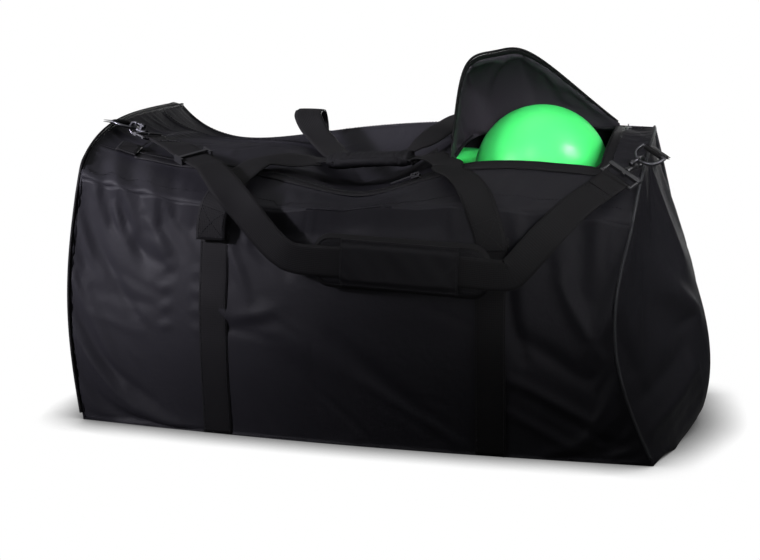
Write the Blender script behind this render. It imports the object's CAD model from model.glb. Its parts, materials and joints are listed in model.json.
"""Looks of a large sports bag with foam balls, built round its fixed frame.

The frame gives the bodies and the rigid pieces. Cloth, webbing, zips and stitching
are made here, in the same axes: X along the bag, the front faces -Y, Z is up.
Lengths in the classes are millimetres; meshes are written in metres.
"""

from __future__ import annotations

import json
import logging
import math
from collections.abc import Callable, Iterable, Sequence
from dataclasses import dataclass, field
from enum import Enum
from functools import partial

import bpy
import numpy as np
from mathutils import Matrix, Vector

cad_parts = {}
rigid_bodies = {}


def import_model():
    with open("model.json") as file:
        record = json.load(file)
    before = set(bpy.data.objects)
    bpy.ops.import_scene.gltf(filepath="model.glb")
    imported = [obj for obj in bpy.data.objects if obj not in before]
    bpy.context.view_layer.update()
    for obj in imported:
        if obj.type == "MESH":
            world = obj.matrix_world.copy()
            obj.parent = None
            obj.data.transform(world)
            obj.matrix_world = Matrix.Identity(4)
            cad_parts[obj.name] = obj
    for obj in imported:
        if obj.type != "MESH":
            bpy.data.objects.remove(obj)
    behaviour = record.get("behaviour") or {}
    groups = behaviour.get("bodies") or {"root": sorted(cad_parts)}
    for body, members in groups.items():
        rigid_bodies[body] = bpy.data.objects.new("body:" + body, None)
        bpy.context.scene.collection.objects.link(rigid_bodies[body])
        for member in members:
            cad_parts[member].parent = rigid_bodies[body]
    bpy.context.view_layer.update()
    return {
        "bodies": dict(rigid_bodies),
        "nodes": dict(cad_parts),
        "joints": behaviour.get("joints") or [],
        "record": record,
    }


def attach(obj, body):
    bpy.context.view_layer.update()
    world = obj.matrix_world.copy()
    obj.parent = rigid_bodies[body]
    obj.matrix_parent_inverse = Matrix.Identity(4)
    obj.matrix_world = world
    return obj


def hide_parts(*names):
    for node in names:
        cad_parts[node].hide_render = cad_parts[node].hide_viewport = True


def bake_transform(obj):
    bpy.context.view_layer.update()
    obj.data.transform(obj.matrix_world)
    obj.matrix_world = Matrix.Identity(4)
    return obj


LOG = logging.getLogger("sports_bag")
MM = 0.001
WALL_H = 330.0
BAG = "bag"
FLAP = "lid_flap"
STRAP = "shoulder_strap"
PAD = "shoulder_pad"
FRONT_HANDLE = "front_handle"
REAR_HANDLE = "rear_handle"
Grid = np.ndarray
Piece = bpy.types.Object
Material = bpy.types.Material
Point = tuple[float, float, float]
Pair = tuple[float, float]
Surface = Callable[[Grid, Grid, float], Grid]


class Weave(Enum):
    """How threads cross in a woven finish."""

    PLAIN = "plain"
    TWILL = "twill"
    RIB = "rib"


class Slot(Enum):
    """The record's material slots."""

    CLOTH = "coated_cloth"
    WEBBING = "webbing"
    TAPE = "zip_tape"
    PADDING = "padding"
    REFLECTIVE = "reflective_cord"
    BOARD = "board"
    METAL = "hardware"
    DARK_METAL = "dark_hardware"
    FOAM = "foam_ball"


class Side(Enum):
    """A wall of the bag, seen from the front."""

    FRONT = "front"
    REAR = "rear"
    LEFT = "left"
    RIGHT = "right"

    @property
    def way(self) -> int:
        """-1 for the front and the left, 1 for the rear and the right."""
        return -1 if self in (Side.FRONT, Side.LEFT) else 1

    @property
    def corners(self) -> tuple[tuple[int, int], ...]:
        """The signs along X and Y of the wall's two corners."""
        return tuple((i, self.way) if self in (Side.FRONT, Side.REAR) else (self.way, i) for i in (-1, 1))

    @property
    def out(self) -> Grid:
        """Direction out of the bag."""
        return np.array([0, self.way, 0] if self in (Side.FRONT, Side.REAR) else [self.way, 0, 0])


# ---- shader maths ----
class Wire:
    """One output socket in a shader graph, with arithmetic on its values."""

    def __init__(self, graph: Graph, socket: bpy.types.NodeSocket) -> None:
        """Keeps the graph that new nodes go into, and the socket."""
        self.graph = graph
        self.socket = socket

    def _math(self, kind: str, first: Wire | float, second: Wire | float = 0.0) -> Wire:
        """Adds one Math node and returns its result."""
        return self.graph.node("ShaderNodeMath", {"operation": kind}, {0: first, 1: second})

    def __add__(self, other: Wire | float) -> Wire:
        """Sum."""
        return self._math("ADD", self, other)

    def __mul__(self, other: Wire | float) -> Wire:
        """Product."""
        return self._math("MULTIPLY", self, other)

    def sine(self) -> Wire:
        """Sine of a value in radians."""
        return self._math("SINE", self)

    def clamped(self) -> Wire:
        """The value kept between 0 and 1."""
        return self._math("MINIMUM", self._math("MAXIMUM", self, 0.0), 1.0)


class Graph:
    """The node graph of one new material or world."""

    def __init__(self, name: str, world: bool = False) -> None:
        """Makes an empty graph.

        Args:
            name: what the material or world is called.
            world: makes a world in place of a material.
        """
        self.owner = (bpy.data.worlds if world else bpy.data.materials).new(name)
        self.owner.use_nodes = True
        self.tree = self.owner.node_tree
        self.tree.nodes.clear()

    def node(
        self, kind: str, settings: dict | None = None, inputs: dict | None = None, output: int | str = 0
    ) -> Wire:
        """Adds a node.

        Args:
            kind: the node's type.
            settings: its properties, set before its sockets.
            inputs: values or wires by socket name or number.
            output: which output socket comes back.

        Returns:
            The chosen output.
        """
        made = self.tree.nodes.new(kind)
        for key, value in (settings or {}).items():
            setattr(made, key, value)
        for key, value in (inputs or {}).items():
            if isinstance(value, Wire):
                self.tree.links.new(value.socket, made.inputs[key])
            else:
                made.inputs[key].default_value = value
        return Wire(self, made.outputs[output] if len(made.outputs) else None)

    def place(self) -> Wire:
        """Position on the piece, in metres."""
        return self.node("ShaderNodeTexCoord", output="Object")

    def threads(self) -> tuple[Wire, Wire]:
        """Reads where a point lies on its cloth.

        Returns:
            Distances along and across the cloth, in metres.
        """
        along = self.node("ShaderNodeAttribute", {"attribute_name": "thread"}, output="Vector")
        split = self.node("ShaderNodeSeparateXYZ", inputs={0: along})
        return split, Wire(self, split.socket.node.outputs[1])

    def noise(self, scale: float, detail: float, rough: float) -> Wire:
        """Adds soft noise.

        Args:
            scale: blobs per metre.
            detail: octaves of finer noise.
            rough: how strong each finer octave is.

        Returns:
            A value from 0 to 1.
        """
        return self.node(
            "ShaderNodeTexNoise",
            inputs={"Vector": self.place(), "Scale": scale, "Detail": detail, "Roughness": rough},
        )

    def blend(self, share: Wire | float, first: Wire | tuple, second: Wire | tuple) -> Wire:
        """Mixes two colours.

        Args:
            share: 0 for the first, 1 for the second.
            first: a colour.
            second: a colour.

        Returns:
            The mixed colour.
        """
        return self.node("ShaderNodeMix", {"data_type": "RGBA"}, {0: share, 6: first, 7: second}, output=2)

    def bump(self, height: Wire, strength: float, depth: float, under: Wire | None = None) -> Wire:
        """Turns a height into a normal.

        Args:
            height: 0 to 1.
            strength: how much of the relief shows.
            depth: metres that a height of 1 stands for.
            under: a normal that this one goes on top of.

        Returns:
            The normal.
        """
        inputs = {"Height": height, "Strength": strength, "Distance": depth}
        if under:
            inputs["Normal"] = under
        return self.node("ShaderNodeBump", inputs=inputs)

    def finish(self, inputs: dict) -> Material:
        """Closes the graph with a Principled shader.

        Args:
            inputs: values or wires by the shader's socket names.

        Returns:
            The material.
        """
        self.surface(self.node("ShaderNodeBsdfPrincipled", inputs=inputs))
        return self.owner

    def surface(self, shader: Wire) -> None:
        """Makes a shader the material's surface."""
        self.node("ShaderNodeOutputMaterial", inputs={"Surface": shader})


def rgba(colour: Sequence[float], factor: float) -> tuple[float, float, float, float]:
    """Colour times a factor, with full alpha."""
    return (colour[0] * factor, colour[1] * factor, colour[2] * factor, 1.0)


# ---- finishes ----
@dataclass(frozen=True)
class Woven:
    """Cloth or webbing: threads, colour drift, wear and a soft gloss.

    The pitch of the threads, their relief and the depth of the crumples are millimetres.
    """

    name: str
    colour: Point
    weave: Weave
    pitch: float
    relief: float
    rough: float
    gloss: float
    drift: float = 0.25
    crumple: float = 0.0

    def _threads(self, graph: Graph) -> Wire:
        """Adds the weave.

        Args:
            graph: the material's graph.

        Returns:
            Height of the threads, from 0 to 1.
        """
        along, across = graph.threads()
        turn = 2 * math.pi / (self.pitch * MM)
        if self.weave is Weave.PLAIN:
            return (along * turn).sine() * (across * turn).sine() * 0.5 + 0.5
        if self.weave is Weave.TWILL:
            return ((along + across) * turn).sine() * 0.35 + (along * turn * 2).sine() * 0.15 + 0.5
        rib = (across * turn).sine() * 0.3
        return (along * turn * 0.8).sine() * 0.2 + rib + 0.5

    def build(self) -> Material:
        """Makes the material.

        Returns:
            The material.
        """
        graph = Graph(self.name)
        threads = self._threads(graph)
        broad = graph.noise(9.0, 4.0, 0.55)
        fine = graph.noise(420.0, 2.0, 0.6)
        tone = (broad * self.drift + fine * 0.5 * self.drift + threads * 0.35 * self.drift).clamped()
        colour = graph.blend(tone, rgba(self.colour, 1 - self.drift), rgba(self.colour, 1 + 1.3 * self.drift))
        normal = graph.bump(threads, 0.6, self.relief * MM)
        if self.crumple:
            wide = graph.noise(38.0, 5.0, 0.55)
            small = graph.noise(130.0, 4.0, 0.6)
            normal = graph.bump(wide * 0.7 + small * 0.3, 0.55, self.crumple * MM, normal)
        rough = broad * 0.16 + fine * 0.08 + (self.rough - 0.12)
        return graph.finish(
            {
                "Base Color": colour,
                "Roughness": rough,
                "Normal": normal,
                "Specular IOR Level": self.gloss,
                "IOR": 1.22,
            }
        )


@dataclass(frozen=True)
class Metal:
    """Cast or plated metal with fine wear."""

    name: str
    colour: Point
    rough: float
    metallic: float = 1.0

    def build(self) -> Material:
        """Makes the material.

        Returns:
            The material.
        """
        graph = Graph(self.name)
        wear = graph.noise(260.0, 5.0, 0.65)
        grain = graph.noise(1500.0, 2.0, 0.5)
        return graph.finish(
            {
                "Base Color": graph.blend(wear, rgba(self.colour, 0.82), rgba(self.colour, 1.12)),
                "Metallic": self.metallic,
                "Roughness": wear * 0.22 + (self.rough - 0.1),
                "Normal": graph.bump(grain, 0.25, 0.06 * MM),
            }
        )


@dataclass(frozen=True)
class CoatedFoam:
    """Foam with a smooth rubbery skin, slightly dimpled and scuffed."""

    name: str
    colour: Point
    rough: float = 0.32

    def build(self) -> Material:
        """Makes the material.

        Returns:
            The material.
        """
        graph = Graph(self.name)
        cloud = graph.noise(26.0, 4.0, 0.5)
        cell = graph.node(
            "ShaderNodeTexVoronoi", inputs={"Vector": graph.place(), "Scale": 520.0}, output="Distance"
        )
        skin = graph.bump(cell, 0.18, 0.25 * MM)
        return graph.finish(
            {
                "Base Color": graph.blend(cloud, rgba(self.colour, 0.93), rgba(self.colour, 1.05)),
                "Roughness": cloud * 0.18 + (self.rough - 0.08),
                "Specular IOR Level": 0.45,
                "Subsurface Weight": 0.12,
                "Subsurface Radius": (0.01, 0.012, 0.006),
                "Subsurface Scale": 1.0,
                "Normal": graph.bump(cloud, 0.2, 1.2 * MM, skin),
            }
        )


@dataclass(frozen=True)
class Finishes:
    """Every finish of the bag, built once."""

    cloth: Material
    lining: Material
    webbing: Material
    padding: Material
    tape: Material
    coil: Material
    thread: Material
    reflective: Material
    steel: Material
    dark_metal: Material
    foam: Material
    board: Material

    @classmethod
    def make(cls) -> Finishes:
        """Builds all materials.

        Returns:
            The set of finishes.
        """
        finishes = {
            "cloth": Woven(
                "coated_cloth", (0.0118, 0.0115, 0.0140), Weave.PLAIN,
                pitch=1.1, relief=0.10, rough=0.52, gloss=0.26, drift=0.20, crumple=1.8,
            ),
            "lining": Woven(
                "lining_cloth", (0.030, 0.027, 0.034), Weave.PLAIN,
                pitch=1.4, relief=0.08, rough=0.46, gloss=0.5, crumple=1.6,
            ),
            "webbing": Woven(
                "webbing", (0.0082, 0.0080, 0.0086), Weave.RIB,
                pitch=2.4, relief=0.35, rough=0.62, gloss=0.22, drift=0.35,
            ),
            "padding": Woven(
                "pad_cloth", (0.0080, 0.0078, 0.0090), Weave.TWILL,
                pitch=1.8, relief=0.2, rough=0.60, gloss=0.25, drift=0.3, crumple=0.5,
            ),
            "tape": Woven(
                "zip_tape", (0.0070, 0.0068, 0.0078), Weave.TWILL,
                pitch=1.2, relief=0.15, rough=0.6, gloss=0.3,
            ),
            "coil": Woven(
                "zip_coil", (0.0060, 0.0060, 0.0066), Weave.RIB, pitch=1.6, relief=0.1, rough=0.42, gloss=0.2
            ),
            "thread": Woven(
                "sewing_thread", (0.0150, 0.0148, 0.0165), Weave.TWILL,
                pitch=0.5, relief=0.1, rough=0.6, gloss=0.12,
            ),
            "reflective": Woven(
                "reflective_cord", (0.034, 0.035, 0.038), Weave.TWILL,
                pitch=1.0, relief=0.1, rough=0.4, gloss=0.3,
            ),
            "steel": Metal("cast_metal", (0.060, 0.060, 0.066), rough=0.36),
            "dark_metal": Metal("dark_metal", (0.018, 0.018, 0.020), rough=0.42, metallic=0.4),
            "foam": CoatedFoam("foam_skin", (0.066, 0.82, 0.175)),
            "board": Woven(
                "stiff_board", (0.02, 0.02, 0.02), Weave.PLAIN, pitch=3.0, relief=0.2, rough=0.7, gloss=0.2
            ),
        }
        return cls(**{name: finish.build() for name, finish in finishes.items()})


# ---- meshes ----
def unit(v: Grid) -> Grid:
    """Vectors of length 1."""
    return v / np.maximum(np.linalg.norm(v, axis=-1, keepdims=True), 1e-9)


def turned(faces: list[tuple[int, ...]], flip: bool = True) -> list[tuple[int, ...]]:
    """The same faces, turned over if flip is true."""
    return [face[::-1] for face in faces] if flip else faces


def tube_faces(rows: int, cols: int) -> list[tuple[int, ...]]:
    """Faces of closed rings of points, with a face over both ends."""
    last = tuple((rows - 1) * cols + i for i in range(cols))
    return [*grid_faces(rows, cols, closed=True), tuple(range(cols))[::-1], last]


def grid_faces(rows: int, cols: int, start: int = 0, closed: bool = False) -> list[tuple[int, ...]]:
    """Lists the quads of a grid of points.

    Args:
        rows: rows of points.
        cols: points in each row.
        start: number of the first point.
        closed: joins each row's last point to its first.

    Returns:
        Point numbers of each quad.
    """
    faces = []
    for r in range(rows - 1):
        low, high = start + r * cols, start + (r + 1) * cols
        for c in range(cols if closed else cols - 1):
            after = (c + 1) % cols
            faces.append((low + c, low + after, high + after, high + c))
    return faces


def add_mesh(
    name: str, points: Grid, faces: Iterable[Sequence[int]], finish: Material, thread: Grid | None = None
) -> Piece:
    """Adds a smooth mesh.

    Args:
        name: the piece's name.
        points: millimetre points, one row each.
        faces: point numbers of each face.
        finish: the material.
        thread: millimetres along and across the cloth at each point.

    Returns:
        The new object.
    """
    mesh = bpy.data.meshes.new(name)
    mesh.from_pydata((np.asarray(points) * MM).tolist(), [], [tuple(int(i) for i in f) for f in faces])
    mesh.update()
    mesh.shade_smooth()
    if thread is not None:
        layer = mesh.attributes.new("thread", "FLOAT_VECTOR", "POINT")
        flat = np.zeros((len(points), 3), np.float32)
        flat[:, :2] = thread * MM
        layer.data.foreach_set("vector", flat.ravel())
    mesh.materials.append(finish)
    piece = bpy.data.objects.new(name, mesh)
    bpy.context.collection.objects.link(piece)
    return piece


def coordinates(piece: Piece) -> Grid:
    """Reads the points of a mesh.

    Args:
        piece: a mesh object.

    Returns:
        Its points in millimetres.
    """
    flat = np.empty(3 * len(piece.data.vertices))
    piece.data.vertices.foreach_get("co", flat)
    return flat.reshape(-1, 3) / MM


def set_coordinates(piece: Piece, points: Grid) -> None:
    """Moves the points of a mesh; points are in millimetres."""
    piece.data.vertices.foreach_set("co", (points * MM).ravel())
    piece.data.update()


def apply_modifiers(piece: Piece) -> None:
    """Bakes every modifier into the mesh.

    Args:
        piece: a mesh object.
    """
    graph = bpy.context.evaluated_depsgraph_get()
    mesh = bpy.data.meshes.new_from_object(piece.evaluated_get(graph))
    piece.modifiers.clear()
    piece.data = mesh


def thicken(piece: Piece, thick: float, offset: int = -1, lining: int = 0, even: bool = False) -> None:
    """Gives an open piece of cloth its thickness.

    Args:
        piece: a mesh object.
        thick: millimetres.
        offset: -1 to grow behind the face, 1 in front of it.
        lining: how many materials further on the other face's is.
        even: keeps the thickness the same round bends.
    """
    wall = piece.modifiers.new("thick", "SOLIDIFY")
    wall.thickness = thick * MM
    wall.offset = offset
    wall.material_offset = lining
    wall.use_even_offset = even
    apply_modifiers(piece)


def declare(piece: Piece, body: str, nodes: Sequence[str] = ()) -> None:
    """Declares a piece that rides on one body.

    Args:
        piece: the finished piece.
        body: the body that carries it.
        nodes: the frame's nodes that it stands for.
    """
    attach(piece, body)
    if nodes:
        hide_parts(*nodes)
    LOG.info("made %s on %s", piece.name, body)


@dataclass(frozen=True)
class Settle:
    """A short cloth simulation between pinned points."""

    slack: float = 0.012
    pressure: float = 0.0
    gravity: float = 1.0
    cap: float = 7.0
    frames: int = 18
    stiffness: float = 12.0
    bending: float = 0.6

    def run(self, piece: Piece, pinned: Grid) -> None:
        """Lets the piece settle and keeps the result.

        Args:
            piece: an open or closed mesh.
            pinned: true for each point that stays.
        """
        start = coordinates(piece)
        group = piece.vertex_groups.new(name="sewn")
        group.add(np.flatnonzero(pinned).tolist(), 1.0, "REPLACE")
        cloth = piece.modifiers.new("settle", "CLOTH")
        rules = cloth.settings
        rules.quality = 5
        rules.mass = 0.3
        rules.tension_stiffness = rules.compression_stiffness = self.stiffness
        rules.shear_stiffness = self.stiffness / 3
        rules.bending_stiffness = self.bending
        rules.vertex_group_mass = group.name
        rules.shrink_min = -self.slack
        rules.effector_weights.gravity = self.gravity
        if self.pressure:
            rules.use_pressure = True
            rules.uniform_pressure_force = self.pressure
        cloth.collision_settings.use_collision = False
        cloth.point_cache.frame_start = 1
        cloth.point_cache.frame_end = self.frames
        scene = bpy.context.scene
        for frame in range(1, self.frames + 1):
            scene.frame_set(frame)
        graph = bpy.context.evaluated_depsgraph_get()
        after = np.empty(3 * len(start))
        piece.evaluated_get(graph).data.vertices.foreach_get("co", after)
        move = after.reshape(-1, 3) / MM - start
        length = np.linalg.norm(move, axis=1, keepdims=True)
        move *= np.minimum(1.0, self.cap / np.maximum(length, 1e-6))
        piece.modifiers.remove(cloth)
        piece.vertex_groups.clear()
        scene.frame_set(1)
        set_coordinates(piece, start + move)
        LOG.info("settled %s, most %.1f mm", piece.name, float(length.max()))


# ---- the bag's form ----
def mix(first: Grid, second: Grid, t: Grid) -> Grid:
    """Points between first and second at t."""
    return first + (second - first) * t[..., None]


def hump(t: Grid, power: float = 1.0) -> Grid:
    """0 at both ends of 0..1 and 1 in the middle."""
    return np.sin(np.pi * np.clip(t, 0.0, 1.0) ** power)


@dataclass(frozen=True)
class BagForm:
    """The bag's seams and the curved cloth between them, in the frame's axes."""

    base_l: float = 780.0
    base_w: float = 400.0
    wall: float = 3.0
    front_left_h: float = 332.0
    front_right_h: float = 303.0
    rear_left_h: float = 393.0
    rear_right_h: float = 381.0
    right_in_front: float = 34.0
    right_in_rear: float = 72.0
    rear_in: float = 13.0
    base_bow: float = 20.0
    front_swell: float = 12.0
    back_swell: float = 16.0
    left_swell: float = 20.0
    right_swell: float = 50.0
    corner_pull: float = 34.0
    deck_sag: float = 60.0
    lid_front_v: float = 0.165
    lid_rear_v: float = 0.80
    lid_left_u: float = 0.08
    mouth_left_u: float = 0.665
    mouth_right_u: float = 0.94
    flap_open: float = 115.0
    tape_w: float = 8.0
    flap_full: float = 15.0
    hood_crown: float = 26.0
    ball: Point = (198.0, 5.0, 337.0)

    # Folds across the front seam: place along X, width, height and slant
    crossing: tuple[tuple[float, float, float, float], ...] = (
        (-372, 12, 3.0, 0.5), (-348, 9, -3.5, 0.7), (-326, 10, 4.0, 0.8), (-300, 9, -3.5, 0.9),
        (-276, 12, 3.5, 0.8), (-246, 10, -3.0, 0.6), (-160, 9, -3.5, 0.6), (-138, 12, 3.0, 0.5),
        (-104, 16, -2.5, 0.2), (-60, 18, 2.5, 0.1), (-12, 16, -2.5, 0.0), (36, 20, 2.0, -0.2),
        (88, 16, -2.5, -0.3), (128, 14, 2.5, -0.4), (226, 12, -3.0, -0.3), (256, 14, 3.0, -0.4),
        (292, 10, -3.5, -0.5), (318, 12, 3.0, -0.5),
    )
    fold_reach: float = 62.0

    def foot(self, i: int, j: int, s: float) -> Grid:
        """Corner of the base, s inside the outer face."""
        return np.array([i * (self.base_l / 2 - s), j * (self.base_w / 2 - s), 0.0])

    def head(self, i: int, j: int, s: float) -> Grid:
        """Finds a corner of the deck.

        Args:
            i: -1 for the left, 1 for the right.
            j: -1 for the front, 1 for the rear.
            s: millimetres inside the outer face.

        Returns:
            The corner.
        """
        half_l, half_w = self.base_l / 2, self.base_w / 2
        if j < 0:
            x = 5 - half_l + s if i < 0 else half_l - self.right_in_front - s
            z = self.front_left_h if i < 0 else self.front_right_h
            return np.array([x, (2 if i < 0 else 0) - half_w + s, z - s])
        x = s - half_l - 8 if i < 0 else half_l - self.right_in_rear - s
        z = self.rear_left_h if i < 0 else self.rear_right_h
        return np.array([x, half_w - self.rear_in - s, z - s])

    def base_edge(self, side: Side, t: Grid, s: float) -> Grid:
        """Finds the bottom seam of a wall.

        Args:
            side: the wall.
            t: 0 to 1 along +X or +Y.
            s: millimetres inside the outer face.

        Returns:
            Points of the seam.
        """
        share = {Side.FRONT: 1, Side.REAR: 0.5, Side.LEFT: 1 / 3, Side.RIGHT: 0.5}[side]
        line = mix(*(self.foot(*corner, s) for corner in side.corners), t)
        return line + side.out * share * self.base_bow * hump(t)[..., None]

    def rise(self, i: int, j: int, t: Grid, s: float) -> Grid:
        """Finds a corner seam.

        Args:
            i: -1 for the left, 1 for the right.
            j: -1 for the front, 1 for the rear.
            t: 0 at the base to 1 at the deck.
            s: millimetres inside the outer face.

        Returns:
            Points of the seam.
        """
        pull = {(-1, -1): (-14, -8, 0), (1, -1): (-self.corner_pull, -6, 0), (-1, 1): (-14, 12, 0),
                (1, 1): (6, 12, 0)}[(i, j)]
        return mix(self.foot(i, j, s), self.head(i, j, s), t) + np.array(pull) * hump(t)[..., None]

    def top_edge(self, side: Side, t: Grid, s: float) -> Grid:
        """Finds the seam between a wall and the deck.

        Args:
            side: the wall.
            t: 0 to 1 along +X or +Y.
            s: millimetres inside the outer face.

        Returns:
            Points of the seam.
        """
        zero = np.zeros_like(t)
        line = mix(*(self.head(*corner, s) for corner in side.corners), t)
        if side is Side.FRONT:
            return line + np.stack([zero, -12 * hump(t), -7 * hump(t) - 14 * np.sin(2 * np.pi * t)], -1)
        if side is Side.REAR:
            dip = 48 * (t / 0.16) * np.exp(1 - t / 0.16)
            return line + np.stack([zero, 8 * hump(t), -dip * (1 - t * t)], -1)
        up = 34 * hump(t, 0.6) if side is Side.LEFT else 48 * hump(t, 0.7)
        return line + np.stack([side.way * 10 * hump(t), zero, up], -1)

    @staticmethod
    def patch(u: Grid, v: Grid, low: Callable, high: Callable, left: Callable, right: Callable) -> Grid:
        """Spans a patch between its four edges.

        Args:
            u: 0 at the left edge to 1 at the right.
            v: 0 at the low edge to 1 at the high.
            low: the low edge, a function of u.
            high: the high edge, a function of u.
            left: the left edge, a function of v.
            right: the right edge, a function of v.

        Returns:
            Points of the patch.
        """
        zero, one = np.zeros_like(u), np.ones_like(u)
        u1, v1 = u[..., None], v[..., None]
        edges = (1 - v1) * low(u) + v1 * high(u) + (1 - u1) * left(v) + u1 * right(v)
        corners = (1 - u1) * (1 - v1) * low(zero) + u1 * (1 - v1) * low(one)
        return edges - corners - (1 - u1) * v1 * high(zero) - u1 * v1 * high(one)

    def wall_at(self, side: Side, u: Grid, v: Grid, s: float = 0.0) -> Grid:
        """Finds points of a wall panel.

        Args:
            side: the wall.
            u: 0 to 1 along +X or +Y.
            v: 0 at the base to 1 at the deck.
            s: millimetres inside the outer face.

        Returns:
            Points of the wall.
        """
        left, right = side.corners
        flat = self.patch(
            u, v, lambda t: self.base_edge(side, t, s), lambda t: self.top_edge(side, t, s),
            lambda t: self.rise(*left, t, s), lambda t: self.rise(*right, t, s),
        )
        swell, power = {
            Side.FRONT: (self.front_swell, 1.0), Side.REAR: (self.back_swell, 1.0),
            Side.LEFT: (self.left_swell, 1.0), Side.RIGHT: (self.right_swell, 0.6),
        }[side]
        return flat + side.out * (swell * hump(u) * hump(v, power))[..., None]

    def deck_at(self, u: Grid, v: Grid, s: float = 0.0) -> Grid:
        """Finds points of the deck.

        Args:
            u: 0 to 1 along +X.
            v: 0 to 1 along +Y.
            s: millimetres inside the outer face.

        Returns:
            Points of the deck.
        """
        flat = self.patch(
            u, v, lambda t: self.top_edge(Side.FRONT, t, s), lambda t: self.top_edge(Side.REAR, t, s),
            lambda t: self.top_edge(Side.LEFT, t, s), lambda t: self.top_edge(Side.RIGHT, t, s),
        )
        low = (flat[..., 0] - (4 - 76 * v)) / 105
        flat[..., 2] -= self.deck_sag * np.exp(-low**2) * np.maximum(hump(v), 0.0) ** 0.7
        return flat

    def slump(self, points: Grid) -> Grid:
        """Adds the soft folds that cross the front seam.

        Args:
            points: points of the cloth, or of what is sewn to it.

        Returns:
            The same points, moved.
        """
        left, right = self.top_edge(Side.FRONT, np.array([0.0, 1.0]), 0.0)
        u = np.clip((points[..., 0] - left[0]) / (right[0] - left[0]), 0, 1)
        seam = self.top_edge(Side.FRONT, u, 0.0)
        drop = seam[..., 2] - points[..., 2]
        away = np.hypot(points[..., 1] - seam[..., 1], drop)
        rise = np.zeros_like(u)
        for x, wide, high, lean in self.crossing:
            rise += high * np.exp(-(((points[..., 0] - x - lean * drop) / wide) ** 2))
        rise *= np.exp(-((away / self.fold_reach) ** 2)) * np.clip(u * 30, 0, 1) * np.clip((1 - u) * 30, 0, 1)
        return points + rise[..., None] * np.array([0.0, -0.62, 0.78])

    def deck_point(self, u: float, v: float) -> Grid:
        """One point of the deck."""
        return self.deck_at(np.array([u]), np.array([v]))[0]

    @property
    def tape_u(self) -> float:
        """Width of a zip tape as a share of the deck's length."""
        return self.tape_w / self.base_l

    @property
    def tape_v(self) -> float:
        """Width of a zip tape as a share of the deck's depth."""
        return self.tape_w / self.base_w

    @property
    def zip_v(self) -> float:
        """Where the closed zip's coil runs."""
        return self.lid_front_v + self.tape_v

    def corners(self) -> tuple[Grid, Grid, Grid, Grid]:
        """Finds the corners of the raised lid.

        Returns:
            The hinge's left end, the fold's corner, the hinge's right end and the turned tip.
        """
        a = self.deck_point(self.mouth_left_u, self.lid_front_v + 2 * self.tape_v)
        e = self.deck_point(self.mouth_left_u, self.lid_rear_v)
        b = self.deck_point(self.mouth_right_u, self.lid_rear_v)
        c = self.deck_point(self.mouth_right_u, self.lid_front_v)
        axis = unit(b - a)
        turn = math.radians(-self.flap_open)
        d = c - a
        tip = a + d * math.cos(turn) + np.cross(axis, d) * math.sin(turn)
        return a, e, b, tip + axis * axis.dot(d) * (1 - math.cos(turn))

    def hood_at(self, a: Grid, b: Grid, s: float = 0.0) -> Grid:
        """Finds points of the raised lid.

        Args:
            a: 0 at its left end to 1 at its right.
            b: 0 at the fold to 1 at the free edge.
            s: millimetres inside the outer face.

        Returns:
            Points of the lid.
        """
        start, corner, end, tip = self.corners()
        rise = unit(tip - (start + end) / 2)
        away, along = (1 - (1 - a) ** 3)[..., None], (a**3)[..., None]
        low = start + (corner - start) * away + (end - corner) * along
        high = start + (tip - start) * away + (end - tip) * along
        high = high + rise * (self.flap_full * np.sin(2 * np.pi * a) ** 2)[..., None]
        line = low + (high - low) * b[..., None]
        out = unit(line - np.array(self.ball))
        lift = self.wall - s + self.hood_crown * hump(a) * hump(np.minimum(b, 1.0))
        return line + out * lift[..., None]


@dataclass(frozen=True)
class Fold:
    """A soft ridge (or, with a negative height, a valley) along a line in a panel's u, v."""

    start: Pair
    end: Pair
    width: float
    height: float

    def lift(self, u: Grid, v: Grid, size: Pair) -> Grid:
        """Works out how far the fold lifts the cloth.

        Args:
            u: 0 to 1 along the panel.
            v: 0 to 1 up the panel.
            size: the panel's length and height.

        Returns:
            Millimetres at each point.
        """
        scale = np.array(size)
        a, b = np.array(self.start) * scale, np.array(self.end) * scale
        p = np.stack([u * scale[0], v * scale[1]], -1)
        run = b - a
        t = np.clip(((p - a) @ run) / (run @ run), 0.0, 1.0)
        away = np.linalg.norm(p - (a + t[..., None] * run), axis=-1)
        taper = np.sqrt(np.clip(np.sin(np.pi * (0.08 + 0.84 * t)), 0, 1))
        return self.height * taper * np.exp(-((away / self.width) ** 2))


@dataclass(frozen=True)
class Ripples:
    """Many small random creases, the same on each run."""

    seed: int
    count: int
    length: Pair
    width: Pair
    height: float
    slope: float
    spread: float
    window: tuple[float, float, float, float] = (0.03, 0.03, 0.97, 0.97)

    def folds(self, size: Pair) -> list[Fold]:
        """Draws the creases.

        Args:
            size: the panel's length and height.

        Returns:
            The creases as folds in u, v.
        """
        rng = np.random.default_rng(self.seed)
        made = []
        low_u, low_v, high_u, high_v = self.window
        for _ in range(self.count):
            u, v = rng.uniform(low_u, high_u), rng.uniform(low_v, high_v)
            angle = math.radians(self.slope + self.spread * rng.uniform(-1, 1))
            half = rng.uniform(*self.length) / 2
            du, dv = half * math.cos(angle) / size[0], half * math.sin(angle) / size[1]
            made.append(Fold((u - du, v - dv), (u + du, v + dv), rng.uniform(*self.width),
                             self.height * rng.uniform(-1, 1)))
        return made


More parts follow.
